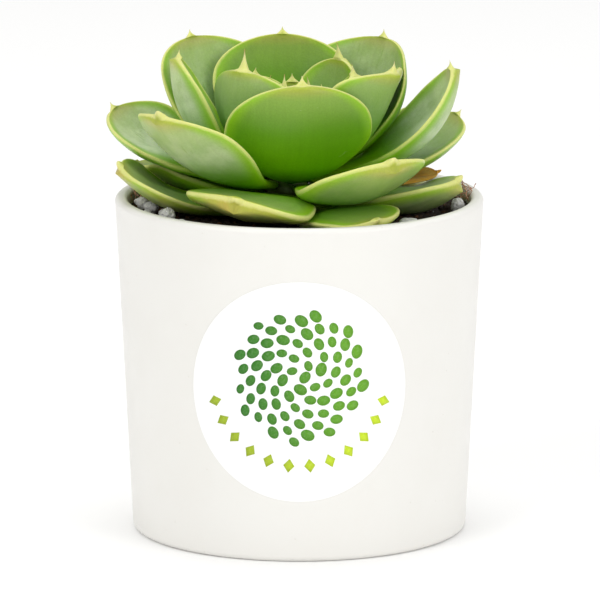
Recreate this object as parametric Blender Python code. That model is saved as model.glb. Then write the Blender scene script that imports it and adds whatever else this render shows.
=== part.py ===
"""A small ceramic pot with a rosette succulent growing in it.

The pot stands on Z = 0 with its axis on Z. Lengths in the tables are millimetres, angles are degrees,
and meshes are built in metres. Azimuth 0 is +X, 90 is +Y, and the label faces -Y.
"""
import math

import bmesh
import bpy
import numpy as np
from mathutils import Matrix, Vector
from mathutils.bvhtree import BVHTree

MM = 0.001
GAP = 0.3                    # clearance between neighbouring pieces

# pot: a plain tapered cup
POT_HEIGHT = 73.3
POT_FOOT_RADIUS = 36.3
POT_RIM_RADIUS = 40.0
POT_WALL = 2.8
POT_FLOOR = 4.0
POT_FOOT_BEVEL = 1.4
POT_RIM_ROUND = 0.9
POT_SIDES = 64

# soil: level by the wall, hollow below the leaves
SOIL_DROP = 3.0              # from the rim down to the soil by the wall
SOIL_DISH = 3.4              # how much lower it is at the stem
SOIL_FLAT_FROM = 30.0

# label: a thin round sticker bent round the pot
LABEL_RADIUS = 24.2
LABEL_CENTRE = 37.7
LABEL_THICKNESS = 0.3

# stem: (height above the rim, radius)
STEM = ((-6.0, 3.8), (5.0, 3.7), (7.0, 2.8), (9.2, 1.9), (11.0, 1.2), (13.0, 0.5))
STEM_SIDES = 16
PLANT_AXIS = (-2.5, 0.0)     # the stem grows a little off the pot's centre

# leaf meshes
LEAF_ROWS = 9
LEAF_AROUND = 10
LEAF_TIP_ROWS = 2

# settling: leaves are bent until they clear each other
SETTLE_TURNS = 60
SETTLE_CLEARANCE = 0.42
SETTLE_STEP = 0.9
LIFT_ROWS = 8
LIFT_COLUMNS = 5
LIFT_LIMIT = 6.0


def leaf(name, azimuth, seat, rise, tip_rise, length, width, **odd):
    """A leaf's shape. It grows at an azimuth, seat millimetres above the rim, and its heading turns
    from rise to tip_rise above the horizontal on the way to its tip."""
    shape = dict(name=name, azimuth=azimuth, seat=seat, rise=rise, tip_rise=tip_rise, length=length,
                 width=width, bend=1.0, cup=0.3, roll=0.0, broad=0.66, neck=0.14, blunt=2.4, thick=3.6,
                 spine=2.0, spine_width=1.6, spine_lift=20.0, root=4.6)
    shape.update(odd)
    return shape


LEAVES = (
    # the lowest whorl, inside the rim
    leaf("outer_leaf_1", 301, -1.3, -12, 12, 33, 21, cup=0.15, roll=9),
    leaf("outer_leaf_2", 252, 2.0, -2, 14, 30.5, 28, cup=-0.06, broad=0.66, neck=0.3, roll=-9, thick=5.2,
         spine=1.2, root=5.4),
    leaf("outer_leaf_3", 349, -0.8, -11, 30, 34, 21, cup=0.22, roll=-2, thick=5.0, spine=1.6),
    leaf("outer_leaf_4", 196, -0.5, -10, 40, 35, 22, cup=0.25, roll=-14, spine=1.6),
    leaf("outer_leaf_5", 158, -0.5, -2, 20, 32, 20),
    leaf("outer_leaf_6", 34, -0.8, -6, 8, 30, 20, cup=0.2),
    leaf("outer_leaf_7", 75, -0.5, -6, 16, 31, 22, cup=0.25),
    leaf("outer_leaf_8", 118, -0.5, -6, 20, 32, 22, cup=0.25),
    # an old leaf, dried up between the whorls
    leaf("dry_leaf", 12, 0.6, -3, 18, 29, 9, roll=40, bend=1.4, thick=1.1, spine=1.2, spine_width=0.5),
    # the second whorl, spreading over the rim
    leaf("lower_leaf_1", 306, 1.4, 3, 35, 35.5, 28.5, cup=0.08, broad=0.68, roll=2, thick=4.5, spine=1.6),
    leaf("lower_leaf_2", 22, 1.8, 2, 39, 38.3, 26, roll=12, spine=1.8),
    leaf("lower_leaf_3", 166, 2.9, 2, 50, 38.6, 26, roll=-14, bend=1.3, spine=1.8),
    leaf("lower_leaf_4", 222, 2.4, 13, 49, 38, 29, cup=0.2, broad=0.7, spine=1.6),
    leaf("lower_leaf_5", 66, 2.0, 6, 38, 35, 26),
    leaf("lower_leaf_6", 116, 2.0, 6, 38, 35, 26),
    # the third whorl, standing up round the heart
    leaf("middle_leaf_1", 358, 4.0, 14, 88, 42, 20, roll=10, bend=2.0, spine=2.0),
    leaf("middle_leaf_2", 139, 4.2, 29, 70, 37, 29, roll=-10, spine=1.8),
    leaf("middle_leaf_3", 184, 4.4, 22, 86, 34, 20, cup=0.35, spine=2.0),
    leaf("middle_leaf_4", 38, 4.6, 28, 75, 36, 31, cup=0.42, spine=2.0),
    leaf("middle_leaf_5", 93.5, 4.8, 38, 87, 32, 30, roll=-8, spine=1.8),
    leaf("middle_leaf_6", 278.5, 4.0, 27, 84, 30, 32, cup=0.14, broad=0.57, neck=0.1, blunt=2.5, spine=2.2),
    leaf("middle_leaf_7", 341, 4.6, 30, 71, 31.5, 29, cup=0.35, roll=-14, blunt=4.0, spine=2.4),
    # the heart
    leaf("upper_leaf_1", 225, 6.6, 36, 98, 25.6, 26, cup=0.35, spine=4.8, spine_lift=-6, root=3.8),
    leaf("upper_leaf_2", 40, 6.8, 40, 88, 24.8, 17, cup=0.35, spine=3.9, root=3.8),
    leaf("upper_leaf_3", 350, 7.0, 38, 86, 23.2, 14, cup=0.4, spine=2.6, root=3.8),
    leaf("upper_leaf_4", 128, 7.0, 40, 92, 20, 15, cup=0.4, root=3.8),
    leaf("upper_leaf_5", 288, 7.0, 42, 90, 19, 15, cup=0.4, root=3.8),
    leaf("inner_leaf_1", 236, 8.8, 42, 94, 18.5, 12.5, cup=0.4, spine=2.0, root=3.0, thick=2.8),
    leaf("inner_leaf_2", 84, 9.0, 44, 90, 16, 11, cup=0.4, root=3.0, thick=2.6),
    leaf("inner_leaf_3", 164, 9.2, 46, 90, 15.5, 11, cup=0.4, root=3.0, thick=2.6),
    leaf("inner_leaf_4", 330, 9.2, 46, 90, 15.5, 11, cup=0.4, root=3.0, thick=2.6),
    leaf("bud_leaf_1", 30, 11.6, 58, 90, 12, 6, cup=0.4, root=2.0, thick=1.8, spine=3.0, spine_width=0.9),
    leaf("bud_leaf_2", 140, 11.6, 58, 90, 12, 6, cup=0.4, root=2.0, thick=1.8, spine=3.0, spine_width=0.9),
    leaf("bud_leaf_3", 262, 11.6, 60, 90, 13.5, 6, cup=0.4, root=2.0, thick=1.8, spine=3.0, spine_width=0.9),
)

# perlite stones on the soil: (azimuth, distance from the pot's axis, size, flatness)
STONES = (
    (176, 34.8, 2.4, 0.8), (184, 33.8, 3.6, 0.9), (193.5, 33.0, 3.5, 0.9), (201, 35.2, 2.2, 0.9),
    (204, 31.6, 3.2, 0.85), (212, 33.2, 3.6, 0.9), (222, 34.2, 2.4, 0.8), (316, 32.6, 4.6, 0.45),
    (338, 34.8, 2.2, 0.8), (353, 34.6, 3.2, 0.9), (60, 33.5, 2.6, 0.7), (140, 34.3, 2.4, 0.8),
)
STONE_SEED = 7

# material: (red, green, blue, roughness)
COLOURS = dict(
    pot=(0.86, 0.86, 0.84, 0.45), label=(0.9, 0.9, 0.9, 0.35), soil=(0.06, 0.035, 0.02, 0.95),
    stem=(0.25, 0.3, 0.12, 0.6), stone=(0.8, 0.78, 0.74, 0.9), dry_leaf=(0.5, 0.26, 0.08, 0.8),
    leaf=(0.24, 0.42, 0.16, 0.4),
)


def smooth(x):
    x = np.clip(x, 0.0, 1.0)
    return x * x * (3.0 - 2.0 * x)


def half_width(shape, s):
    """Outline of a leaf: a narrow neck, widest at broad, then round to the tip."""
    growth = np.sin(np.clip(s / shape["broad"], 0, 1) * np.pi / 2) ** 1.3
    low = shape["neck"] + (1 - shape["neck"]) * growth
    past = np.clip((s - shape["broad"]) / (1 - shape["broad"]), 0, 1)
    high = np.sqrt(np.clip(1 - past ** shape["blunt"], 0, 1))
    return shape["width"] / 2 * np.where(s < shape["broad"], low, high)


def leaf_frames(shape, s):
    """Centre points, headings, upward normals and right-hand sides of a leaf at s, from 0 to 1."""
    azimuth = math.radians(shape["azimuth"])
    ahead = np.array([math.cos(azimuth), math.sin(azimuth), 0.0])
    side = np.array([math.sin(azimuth), -math.cos(azimuth), 0.0])
    up = np.array([0.0, 0.0, 1.0])
    fine = np.linspace(0, 1, 200)
    turn = fine ** shape["bend"]
    rise = np.radians(shape["rise"] + (shape["tip_rise"] - shape["rise"]) * turn)
    step = shape["length"] / (len(fine) - 1)
    out = shape["root"] + step * np.concatenate(([0.0], np.cumsum(np.cos(rise[:-1]))))
    climb = POT_HEIGHT + shape["seat"] + step * np.concatenate(([0.0], np.cumsum(np.sin(rise[:-1]))))
    centre = np.outer(np.interp(s, fine, out), ahead) + np.outer(np.interp(s, fine, climb), up)
    centre += np.array([PLANT_AXIS[0], PLANT_AXIS[1], 0.0])
    angle = np.interp(s, fine, rise)
    heading = np.outer(np.cos(angle), ahead) + np.outer(np.sin(angle), up)
    normal = np.outer(-np.sin(angle), ahead) + np.outer(np.cos(angle), up)
    roll = math.radians(shape["roll"]) * smooth(s / 0.5)
    across = np.outer(np.cos(roll), side) - np.sin(roll)[:, None] * normal
    normal = np.cos(roll)[:, None] * normal + np.outer(np.sin(roll), side)
    return centre, heading, normal, across


def bumps(values, count, low, high):
    """Smooth blending weights of the values over count evenly spaced controls; each row adds up to 1."""
    controls = np.linspace(low, high, count)
    spread = 0.8 * (high - low) / (count - 1)
    weights = np.exp(-((np.asarray(values)[:, None] - controls) / spread) ** 2)
    return weights / weights.sum(axis=1, keepdims=True)


def lift_at(lift, s, x):
    """How far a leaf is bent along its normal at s along it and x across it."""
    return np.einsum("ij,ik,jk->i", bumps(s, LIFT_ROWS, 0, 1), bumps(x, LIFT_COLUMNS, -1, 1), lift)


def leaf_grid(shape, rows, around, tip_rows, lift):
    """Rings of points round a leaf from its base to the end of its spine, with the place along and
    across and the normal of each point."""
    s = 0.995 * (1 - (1 - np.linspace(0, 1, rows)) ** 1.35)
    centre, heading, normal, across = leaf_frames(shape, s)
    angle = np.linspace(0, 2 * np.pi, around, endpoint=False)
    flat = np.sign(np.cos(angle)) * np.abs(np.cos(angle)) ** 0.85
    tall = np.sign(np.sin(angle)) * np.abs(np.sin(angle)) ** 0.9
    half = np.maximum(half_width(shape, s), shape["spine_width"])
    body = 0.5 + 0.5 * np.sin(np.clip(s / 0.5, 0, 1) * np.pi / 2)
    thick = np.minimum(shape["thick"] * body * (1 - 0.45 * smooth((s - 0.55) / 0.45)), half * 1.2)
    x = half[:, None] * flat
    reach = shape["width"] / 2
    cup = shape["cup"] * smooth(s / 0.45)[:, None] * reach * (x / reach) ** 2
    keel = 0.25 * (thick * smooth((s - 0.3) / 0.6))[:, None] * np.clip(1 - 1.6 * np.abs(flat), 0, 1)
    rise = np.where(tall > 0, 0.22 * thick[:, None] * tall, 0.78 * thick[:, None] * tall - keel * (tall < 0))
    points = centre[:, None] + x[..., None] * across[:, None] + (cup + rise)[..., None] * normal[:, None]
    along = np.repeat(s[:, None], around, axis=1)
    normals = np.repeat(normal[:, None], around, axis=1)
    # the spine carries on from the last ring, bending as it narrows
    rings = []
    point = centre[-1].copy()
    for k in range(1, tip_rows + 1):
        q = k / tip_rows
        bend = math.radians(shape["spine_lift"] * q)
        step = math.cos(bend) * heading[-1] + math.sin(bend) * normal[-1]
        point = point + step * shape["spine"] / tip_rows
        radius = (shape["spine_width"] - 0.06) * (1 - q) ** 1.9 + 0.06
        rings.append(point + radius * (flat[:, None] * across[-1] + 0.6 * tall[:, None] * normal[-1]))
    points = np.concatenate((points, np.array(rings)))
    x = np.concatenate((x / reach, np.zeros((tip_rows, around))))
    along = np.concatenate((along, np.ones((tip_rows, around))))
    normals = np.concatenate((normals, np.repeat(normals[-1:], tip_rows, axis=0)))
    bent = lift_at(lift, along.ravel(), x.ravel()).reshape(along.shape)
    return points + bent[..., None] * normals, along, x, normals


def grid_faces(rings, around):
    """Triangles of a tube of rings, and the two fans that close its ends, facing out."""
    faces = []
    for i in range(rings - 1):
        for j in range(around):
            a, b = i * around + j, i * around + (j + 1) % around
            c, d = b + around, a + around
            faces += [(a, c, b), (a, d, c)]
    last = (rings - 1) * around
    first_hub, last_hub = rings * around, rings * around + 1
    for j in range(around):
        faces.append((j, (j + 1) % around, first_hub))
        faces.append((last + (j + 1) % around, last + j, last_hub))
    return faces


def soil_height(radius):
    """Height of the soil at a distance from the pot's axis."""
    return POT_HEIGHT - SOIL_DROP - SOIL_DISH * (1 - smooth(radius / SOIL_FLAT_FROM))


def floor_height(points):
    """Lowest height that a leaf may have over each point: clear of the soil and of the pot's rim."""
    radius = np.hypot(points[:, 0], points[:, 1])
    inner = POT_RIM_RADIUS - POT_WALL
    over_rim = (radius > inner - GAP) & (radius < POT_RIM_RADIUS + GAP)
    ground = np.where(over_rim, POT_HEIGHT, soil_height(radius))
    return np.where(radius < POT_RIM_RADIUS + GAP, ground + SETTLE_CLEARANCE, -1.0)


def is_inside(tree, point):
    """Whether a point lies in a closed mesh: a ray out of it crosses the mesh an odd number of times."""
    direction = Vector((0.31, 0.17, 0.93)).normalized()
    crossings = 0
    start = point
    while True:
        hit = tree.ray_cast(start, direction)
        if hit[0] is None:
            return crossings % 2 == 1
        crossings += 1
        start = hit[0] + direction * 1e-4


def depth_into(tree, point):
    """How much farther a point must move to clear a mesh, and the direction out of it."""
    place, face_normal, _, distance = tree.find_nearest(point, 4.0)
    if place is None:
        return 0.0, None
    inside = (point - place).dot(face_normal) < 0 and is_inside(tree, point)
    if inside:
        return distance + SETTLE_CLEARANCE, (place - point).normalized()
    return SETTLE_CLEARANCE - distance, (point - place).normalized()


def settle(shapes):
    """Bend the leaves until each clears the others. Where two meet, the one later in the table lies on
    top, so it is lifted along its normal and the earlier one is lowered by as much."""
    lifts = [np.zeros((LIFT_ROWS, LIFT_COLUMNS)) for _ in shapes]
    faces = grid_faces(LEAF_ROWS + LEAF_TIP_ROWS, LEAF_AROUND)
    corners = np.array([f for f in faces if max(f) < (LEAF_ROWS + LEAF_TIP_ROWS) * LEAF_AROUND])
    for _ in range(SETTLE_TURNS):
        bodies = []
        for shape, lift in zip(shapes, lifts):
            points, along, x, normals = leaf_grid(shape, LEAF_ROWS, LEAF_AROUND, LEAF_TIP_ROWS, lift)
            flat = points.reshape(-1, 3)
            closed = np.vstack((flat, points[0].mean(axis=0), points[-1].mean(axis=0)))
            tree = BVHTree.FromPolygons([Vector(p) for p in closed], faces)
            samples = [np.concatenate((v, v[corners].mean(axis=1)))
                       for v in (flat, along.reshape(-1), x.reshape(-1), normals.reshape(-1, 3))]
            bodies.append((samples, tree, flat.min(axis=0), flat.max(axis=0)))
        clashes = 0
        for i, (samples, _, low, high) in enumerate(bodies):
            points, along, x, normals = samples
            shares = bumps(along, LIFT_ROWS, 0, 1)[:, :, None] * bumps(x, LIFT_COLUMNS, -1, 1)[:, None, :]
            shares /= (shares ** 2).sum(axis=(1, 2))[:, None, None]
            raised = np.zeros_like(lifts[i])
            lowered = np.zeros_like(lifts[i])
            for k in np.nonzero(points[:, 2] < floor_height(points))[0]:
                short = (floor_height(points[k:k + 1])[0] - points[k, 2]) / max(normals[k, 2], 0.3)
                raised = np.maximum(raised, min(short, SETTLE_STEP) * shares[k])
            for j, (_, tree, other_low, other_high) in enumerate(bodies):
                apart = np.any(low > other_high + 1) or np.any(other_low > high + 1)
                if i == j or apart:
                    continue
                near = np.all((points > other_low - 1) & (points < other_high + 1), axis=1)
                for k in np.nonzero(near)[0]:
                    short, out = depth_into(tree, Vector(points[k]))
                    if short <= 0:
                        continue
                    clashes += 1
                    slope = max(abs(float(np.dot(out, normals[k]))), 0.4)
                    move = min(0.55 * short / slope, SETTLE_STEP) * shares[k]
                    if i > j:
                        raised = np.maximum(raised, move)
                    else:
                        lowered = np.maximum(lowered, move)
            lifts[i] = np.clip(lifts[i] + raised - lowered, -LIFT_LIMIT, LIFT_LIMIT)
        if not clashes:
            break
    return lifts


def add_material(name, colour_key):
    red, green, blue, roughness = COLOURS[colour_key]
    material = bpy.data.materials.new(name)
    material.use_nodes = True
    shader = material.node_tree.nodes["Principled BSDF"]
    shader.inputs["Base Color"].default_value = (red, green, blue, 1.0)
    shader.inputs["Roughness"].default_value = roughness
    shader.inputs["Metallic"].default_value = 0.0
    material.diffuse_color = (red, green, blue, 1.0)
    return material


def add_object(name, mesh, colour_key):
    """A named object with its own material, shaded smooth away from its sharp edges."""
    mesh.shade_smooth()
    mesh.set_sharp_from_angle(angle=math.radians(40))
    mesh.materials.append(add_material(name, colour_key))
    obj = bpy.data.objects.new(name, mesh)
    bpy.context.scene.collection.objects.link(obj)
    return obj


def mesh_from(name, points, faces):
    mesh = bpy.data.meshes.new(name)
    mesh.from_pydata([tuple(float(v) * MM for v in p) for p in points], [], faces)
    return mesh


def arc(centre_x, centre_z, radius, start, end, steps):
    """Points of a round corner, as (radius from the axis, height)."""
    turns = [math.radians(start + (end - start) * i / steps) for i in range(steps + 1)]
    return [(centre_x + radius * math.cos(t), centre_z + radius * math.sin(t)) for t in turns]


def turned(name, profile, sides, centre=(0.0, 0.0)):
    """A closed solid of revolution. The profile runs from the axis at the bottom, up the outside, and
    back to the axis."""
    bm = bmesh.new()
    last = bm.verts.new((centre[0] * MM, centre[1] * MM, profile[0][1] * MM))
    below = None
    for radius, height in profile[1:-1]:
        ring = []
        for k in range(sides):
            turn = 2 * math.pi * k / sides
            x = centre[0] + radius * math.cos(turn)
            y = centre[1] + radius * math.sin(turn)
            ring.append(bm.verts.new((x * MM, y * MM, height * MM)))
        for k in range(sides):
            after = (k + 1) % sides
            if below is None:
                bm.faces.new((last, ring[after], ring[k]))
            else:
                bm.faces.new((below[k], below[after], ring[after], ring[k]))
        below = ring
    top = bm.verts.new((centre[0] * MM, centre[1] * MM, profile[-1][1] * MM))
    for k in range(sides):
        bm.faces.new((below[k], below[(k + 1) % sides], top))
    mesh = bpy.data.meshes.new(name)
    bm.to_mesh(mesh)
    bm.free()
    return mesh


def pot_radius(height):
    """Outer radius of the pot at a height."""
    return POT_FOOT_RADIUS + (POT_RIM_RADIUS - POT_FOOT_RADIUS) * height / POT_HEIGHT


def make_pot():
    inner_top = POT_RIM_RADIUS - POT_WALL
    round_z = POT_HEIGHT - POT_RIM_ROUND
    profile = [(0.0, 0.0), (POT_FOOT_RADIUS - POT_FOOT_BEVEL, 0.0)]
    side = pot_radius(POT_FOOT_BEVEL)
    profile += [(side - 0.25 * POT_FOOT_BEVEL, 0.4 * POT_FOOT_BEVEL), (side, POT_FOOT_BEVEL)]
    profile += arc(POT_RIM_RADIUS - POT_RIM_ROUND, round_z, POT_RIM_ROUND, 0, 90, 3)
    profile += arc(inner_top + POT_RIM_ROUND, round_z, POT_RIM_ROUND, 90, 180, 3)
    profile += [(pot_radius(POT_FLOOR) - POT_WALL, POT_FLOOR), (0.0, POT_FLOOR)]
    return add_object("pot", turned("pot", profile, POT_SIDES), "pot")


def make_soil():
    clear = POT_WALL + GAP
    low = POT_FLOOR + GAP
    top_radius = pot_radius(POT_HEIGHT - SOIL_DROP) - clear
    radii = (top_radius, SOIL_FLAT_FROM, 0.7 * SOIL_FLAT_FROM, 0.4 * SOIL_FLAT_FROM)
    profile = [(0.0, low), (pot_radius(low) - clear, low)]
    profile += [(r, float(soil_height(r))) for r in radii]
    profile += [(0.0, float(soil_height(0.0)))]
    return add_object("soil", turned("soil", profile, 40), "soil")


def make_stem():
    foot = float(soil_height(8.0)) + GAP
    profile = [(0.0, foot), (STEM[0][1], foot)]
    profile += [(radius, POT_HEIGHT + height) for height, radius in STEM[1:]]
    profile += [(0.0, POT_HEIGHT + STEM[-1][0] + 0.3)]
    return add_object("stem", turned("stem", profile, STEM_SIDES, PLANT_AXIS), "stem")


def make_label():
    """A round sticker wrapped on the pot: rings of points on an inner and an outer skin."""
    rings, sides = 3, 40
    points = []
    for skin in (GAP, GAP + LABEL_THICKNESS):
        for ring in range(1, rings + 1):
            for k in range(sides):
                turn = 2 * math.pi * k / sides
                along = LABEL_RADIUS * ring / rings * math.cos(turn)
                height = LABEL_CENTRE + LABEL_RADIUS * ring / rings * math.sin(turn)
                radius = pot_radius(height) + skin
                bend = along / pot_radius(height)
                points.append((radius * math.sin(bend), -radius * math.cos(bend), height))
        radius = pot_radius(LABEL_CENTRE) + skin
        points.append((0.0, -radius, LABEL_CENTRE))
    skin_size = rings * sides + 1
    faces = []
    for skin in range(2):
        start = skin * skin_size
        hub = start + skin_size - 1
        for k in range(sides):
            after = (k + 1) % sides
            cells = [(hub, start + k, start + after)]
            for ring in range(rings - 1):
                a, b = start + ring * sides + k, start + ring * sides + after
                cells.append((a, a + sides, b + sides, b))
            faces += cells if skin else [tuple(reversed(cell)) for cell in cells]
    edge = (rings - 1) * sides
    for k in range(sides):
        after = (k + 1) % sides
        faces.append((edge + k, edge + after, skin_size + edge + after, skin_size + edge + k))
    return add_object("label", mesh_from("label", points, faces), "label")


def make_stones():
    """Crumbs of perlite lying on the soil by the wall: dented, flattened balls."""
    rng = np.random.default_rng(STONE_SEED)
    for number, (azimuth, distance, size, flatness) in enumerate(STONES, 1):
        name = f"stone_{number}"
        bm = bmesh.new()
        bmesh.ops.create_icosphere(bm, subdivisions=2, radius=size / 2 * MM)
        stretch = 1 + 0.25 * rng.random(3) - 0.12
        for vert in bm.verts:
            dent = 1 + 0.12 * (rng.random() - 0.5)
            vert.co = Vector(vert.co[axis] * stretch[axis] * dent for axis in range(3))
            vert.co.z *= flatness
        turn = Matrix.Rotation(rng.random() * 2 * math.pi, 3, "Z")
        bmesh.ops.rotate(bm, cent=(0, 0, 0), matrix=turn, verts=bm.verts)
        mesh = bpy.data.meshes.new(name)
        bm.to_mesh(mesh)
        bm.free()
        stone = add_object(name, mesh, "stone")
        lowest = min(vert.co.z for vert in mesh.vertices)
        turn = math.radians(azimuth)
        ground = (POT_HEIGHT - SOIL_DROP + GAP) * MM
        stone.location = (distance * MM * math.cos(turn), distance * MM * math.sin(turn), ground - lowest)


def make_leaves():
    faces = grid_faces(LEAF_ROWS + LEAF_TIP_ROWS, LEAF_AROUND)
    for shape, lift in zip(LEAVES, settle(LEAVES)):
        grid = leaf_grid(shape, LEAF_ROWS, LEAF_AROUND, LEAF_TIP_ROWS, lift)[0]
        points = np.vstack((grid.reshape(-1, 3), grid[0].mean(axis=0), grid[-1].mean(axis=0)))
        colour = "dry_leaf" if shape["name"] == "dry_leaf" else "leaf"
        add_object(shape["name"], mesh_from(shape["name"], points, faces), colour)


for old in list(bpy.data.objects):
    bpy.data.objects.remove(old, do_unlink=True)
make_pot()
make_soil()
make_stem()
make_label()
make_stones()
make_leaves()
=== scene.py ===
"""The looks of a potted rosette succulent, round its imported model. Metres, Z up, label facing -Y."""
import math

import bmesh
import bpy
import numpy as np
from mathutils import Matrix, Vector, noise
from mathutils.bvhtree import BVHTree


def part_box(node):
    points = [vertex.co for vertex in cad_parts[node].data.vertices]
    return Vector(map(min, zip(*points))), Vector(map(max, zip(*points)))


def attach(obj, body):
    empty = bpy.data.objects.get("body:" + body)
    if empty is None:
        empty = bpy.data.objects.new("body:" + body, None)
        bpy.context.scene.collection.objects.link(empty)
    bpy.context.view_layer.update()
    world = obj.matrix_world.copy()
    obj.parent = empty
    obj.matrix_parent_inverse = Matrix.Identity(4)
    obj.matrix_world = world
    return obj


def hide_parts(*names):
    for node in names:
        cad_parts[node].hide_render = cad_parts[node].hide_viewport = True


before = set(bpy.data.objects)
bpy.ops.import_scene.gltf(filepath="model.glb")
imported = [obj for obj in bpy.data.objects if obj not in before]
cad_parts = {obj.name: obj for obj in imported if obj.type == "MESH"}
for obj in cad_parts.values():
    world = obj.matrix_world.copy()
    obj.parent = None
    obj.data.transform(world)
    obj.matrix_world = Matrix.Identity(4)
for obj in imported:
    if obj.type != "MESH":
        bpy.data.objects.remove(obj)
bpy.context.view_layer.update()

MM = 0.001
BODY = "root"

# The studio: a plain white floor under a bright even dome of light, a broad soft lamp high on the left
# and a weaker one on the right, and a long lens looking slightly down at the pot.
CAMERA_PLACE = Vector((0.0, -1.560, 0.368))
CAMERA_AIM = Vector((0.00015, 0.0, 0.050))
CAMERA_LENS = 438.8
DOME_STRENGTH = 0.65
LAMPS = (
    # name, place, width, watts, colour
    ("left_lamp", (-1.15, -1.25, 1.15), 0.90, 10.5, (1.0, 0.99, 0.96)),
    ("right_lamp", (1.20, -1.10, 0.75), 0.90, 8.5, (1.0, 0.995, 0.98)),
    ("top_lamp", (0.0, 0.25, 1.60), 0.90, 8.0, (1.0, 1.0, 0.98)),
)


def aim(thing, place, target):
    thing.location = place
    thing.rotation_euler = (Vector(target) - Vector(place)).to_track_quat("-Z", "Y").to_euler()
    bpy.context.scene.collection.objects.link(thing)


camera_data = bpy.data.cameras.new("camera")
camera_data.lens = CAMERA_LENS
camera_data.clip_end = 20.0
camera = bpy.data.objects.new("camera", camera_data)
aim(camera, CAMERA_PLACE, CAMERA_AIM)
bpy.context.scene.camera = camera
bpy.context.scene.view_settings.view_transform = "Standard"

for lamp_name, lamp_place, lamp_width, watts, lamp_colour in LAMPS:
    lamp_data = bpy.data.lights.new(lamp_name, "AREA")
    lamp_data.size = lamp_width
    lamp_data.energy = watts
    lamp_data.color = lamp_colour
    aim(bpy.data.objects.new(lamp_name, lamp_data), lamp_place, (0.0, 0.0, 0.08))

world = bpy.data.worlds.new("studio")
world.use_nodes = True
world.node_tree.nodes["Background"].inputs["Color"].default_value = (1.0, 1.0, 1.0, 1.0)
world.node_tree.nodes["Background"].inputs["Strength"].default_value = DOME_STRENGTH
bpy.context.scene.world = world


def node(tree, kind, inputs=None, **settings):
    """Adds a node to a tree. settings are its own properties; inputs are values or sockets."""
    made = tree.nodes.new(kind)
    for key, value in settings.items():
        setattr(made, key, value)
    for key, value in (inputs or {}).items():
        if isinstance(value, bpy.types.NodeSocket):
            tree.links.new(value, made.inputs[key])
        else:
            made.inputs[key].default_value = value
    return made


def new_material(name, colour=(0.8, 0.8, 0.8), roughness=0.5):
    """A Principled material: the material, its tree and its shader node."""
    material = bpy.data.materials.new(name)
    material.use_nodes = True
    material.diffuse_color = (*colour, 1.0)
    shader = material.node_tree.nodes["Principled BSDF"]
    shader.inputs["Base Color"].default_value = (*colour, 1.0)
    shader.inputs["Roughness"].default_value = roughness
    return material, material.node_tree, shader


floor_material, floor_tree, floor_shader = new_material("floor_white", (0.98, 0.98, 0.98), 0.9)
floor_mesh = bpy.data.meshes.new("floor")
floor_mesh.from_pydata([(-4, -4, 0), (4, -4, 0), (4, 4, 0), (-4, 4, 0)], [], [(0, 1, 2, 3)])
floor_mesh.materials.append(floor_material)
floor = bpy.data.objects.new("floor", floor_mesh)
bpy.context.scene.collection.objects.link(floor)

# The pot: one tapered cup of slip-cast earthenware with a satin white glaze. Its rim is rounded and its
# foot has a small bevel. The glaze has faint clouds, fine pinholes, and soil dust inside the rim.
POT_LOW, POT_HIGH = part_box("pot")
POT_HEIGHT = POT_HIGH[2] / MM
POT_RIM_RADIUS = POT_HIGH[0] / MM
POT_FOOT_RADIUS = 36.3
POT_WALL = 2.8
POT_FLOOR = 4.0
POT_FOOT_BEVEL = 1.4
POT_RIM_ROUND = 1.1
POT_SIDES = 256
SOIL_LEVEL = 70.3
GLAZE_WHITE = (0.800, 0.790, 0.758, 1.0)
GLAZE_CLOUD = (0.775, 0.760, 0.720, 1.0)
GLAZE_DUST = (0.33, 0.25, 0.17, 1.0)


def value(tree, operation, first, second=0.0, clamp=False):
    """The output of a Math node."""
    made = node(tree, "ShaderNodeMath", {0: first, 1: second}, operation=operation, use_clamp=clamp)
    return made.outputs[0]


def times(tree, first, second, clamp=False):
    return value(tree, "MULTIPLY", first, second, clamp)


def plus(tree, first, second, clamp=False):
    return value(tree, "ADD", first, second, clamp)


def vector(tree, operation, first, second=(0.0, 0.0, 0.0), output="Vector"):
    """The output of a Vector Math node."""
    return node(tree, "ShaderNodeVectorMath", {0: first, 1: second}, operation=operation).outputs[output]


def own_place(tree):
    """Where a point is on the object, in metres."""
    return node(tree, "ShaderNodeTexCoord").outputs["Object"]


def stored(tree, label):
    """A number stored on a mesh's points."""
    return node(tree, "ShaderNodeAttribute", attribute_name=label).outputs["Fac"]


def ramp(tree, factor, start, end, low=0.0, high=1.0):
    """Smooth step of factor: low at start, high at end."""
    made = node(tree, "ShaderNodeMapRange", interpolation_type="SMOOTHSTEP", inputs={
        "Value": factor, "From Min": start, "From Max": end, "To Min": low, "To Max": high})
    return made.outputs["Result"]


def blend_colours(tree, factor, first, second, blend_type="MIX"):
    """The colour output of a Mix node."""
    made = node(tree, "ShaderNodeMix", {0: factor, 6: first, 7: second}, data_type="RGBA",
                blend_type=blend_type)
    return made.outputs[2]


def grain(tree, place, scale, detail=3.0, roughness=0.5, distortion=0.0):
    """Noise from 0 to 1 at a scale in features per metre."""
    made = node(tree, "ShaderNodeTexNoise", {"Vector": place, "Scale": scale, "Detail": detail,
                                             "Roughness": roughness, "Distortion": distortion})
    return made.outputs["Fac"]


def bump(tree, shader, height, depth, strength=1.0):
    """Bumps of a shader's surface, depth metres for a height of 1."""
    made = node(tree, "ShaderNodeBump", {"Height": height, "Distance": depth, "Strength": strength})
    tree.links.new(made.outputs["Normal"], shader.inputs["Normal"])


def piece(name, mesh, material, slot, *replaced):
    """A finished piece of the plant or pot, shaded smooth, riding on the one body."""
    mesh.name = name
    mesh.shade_smooth()
    mesh.materials.clear()
    mesh.materials.append(material)
    made = bpy.data.objects.new(name, mesh)
    bpy.context.scene.collection.objects.link(made)
    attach(made, BODY)
    if replaced:
        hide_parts(*replaced)
    return made


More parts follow.
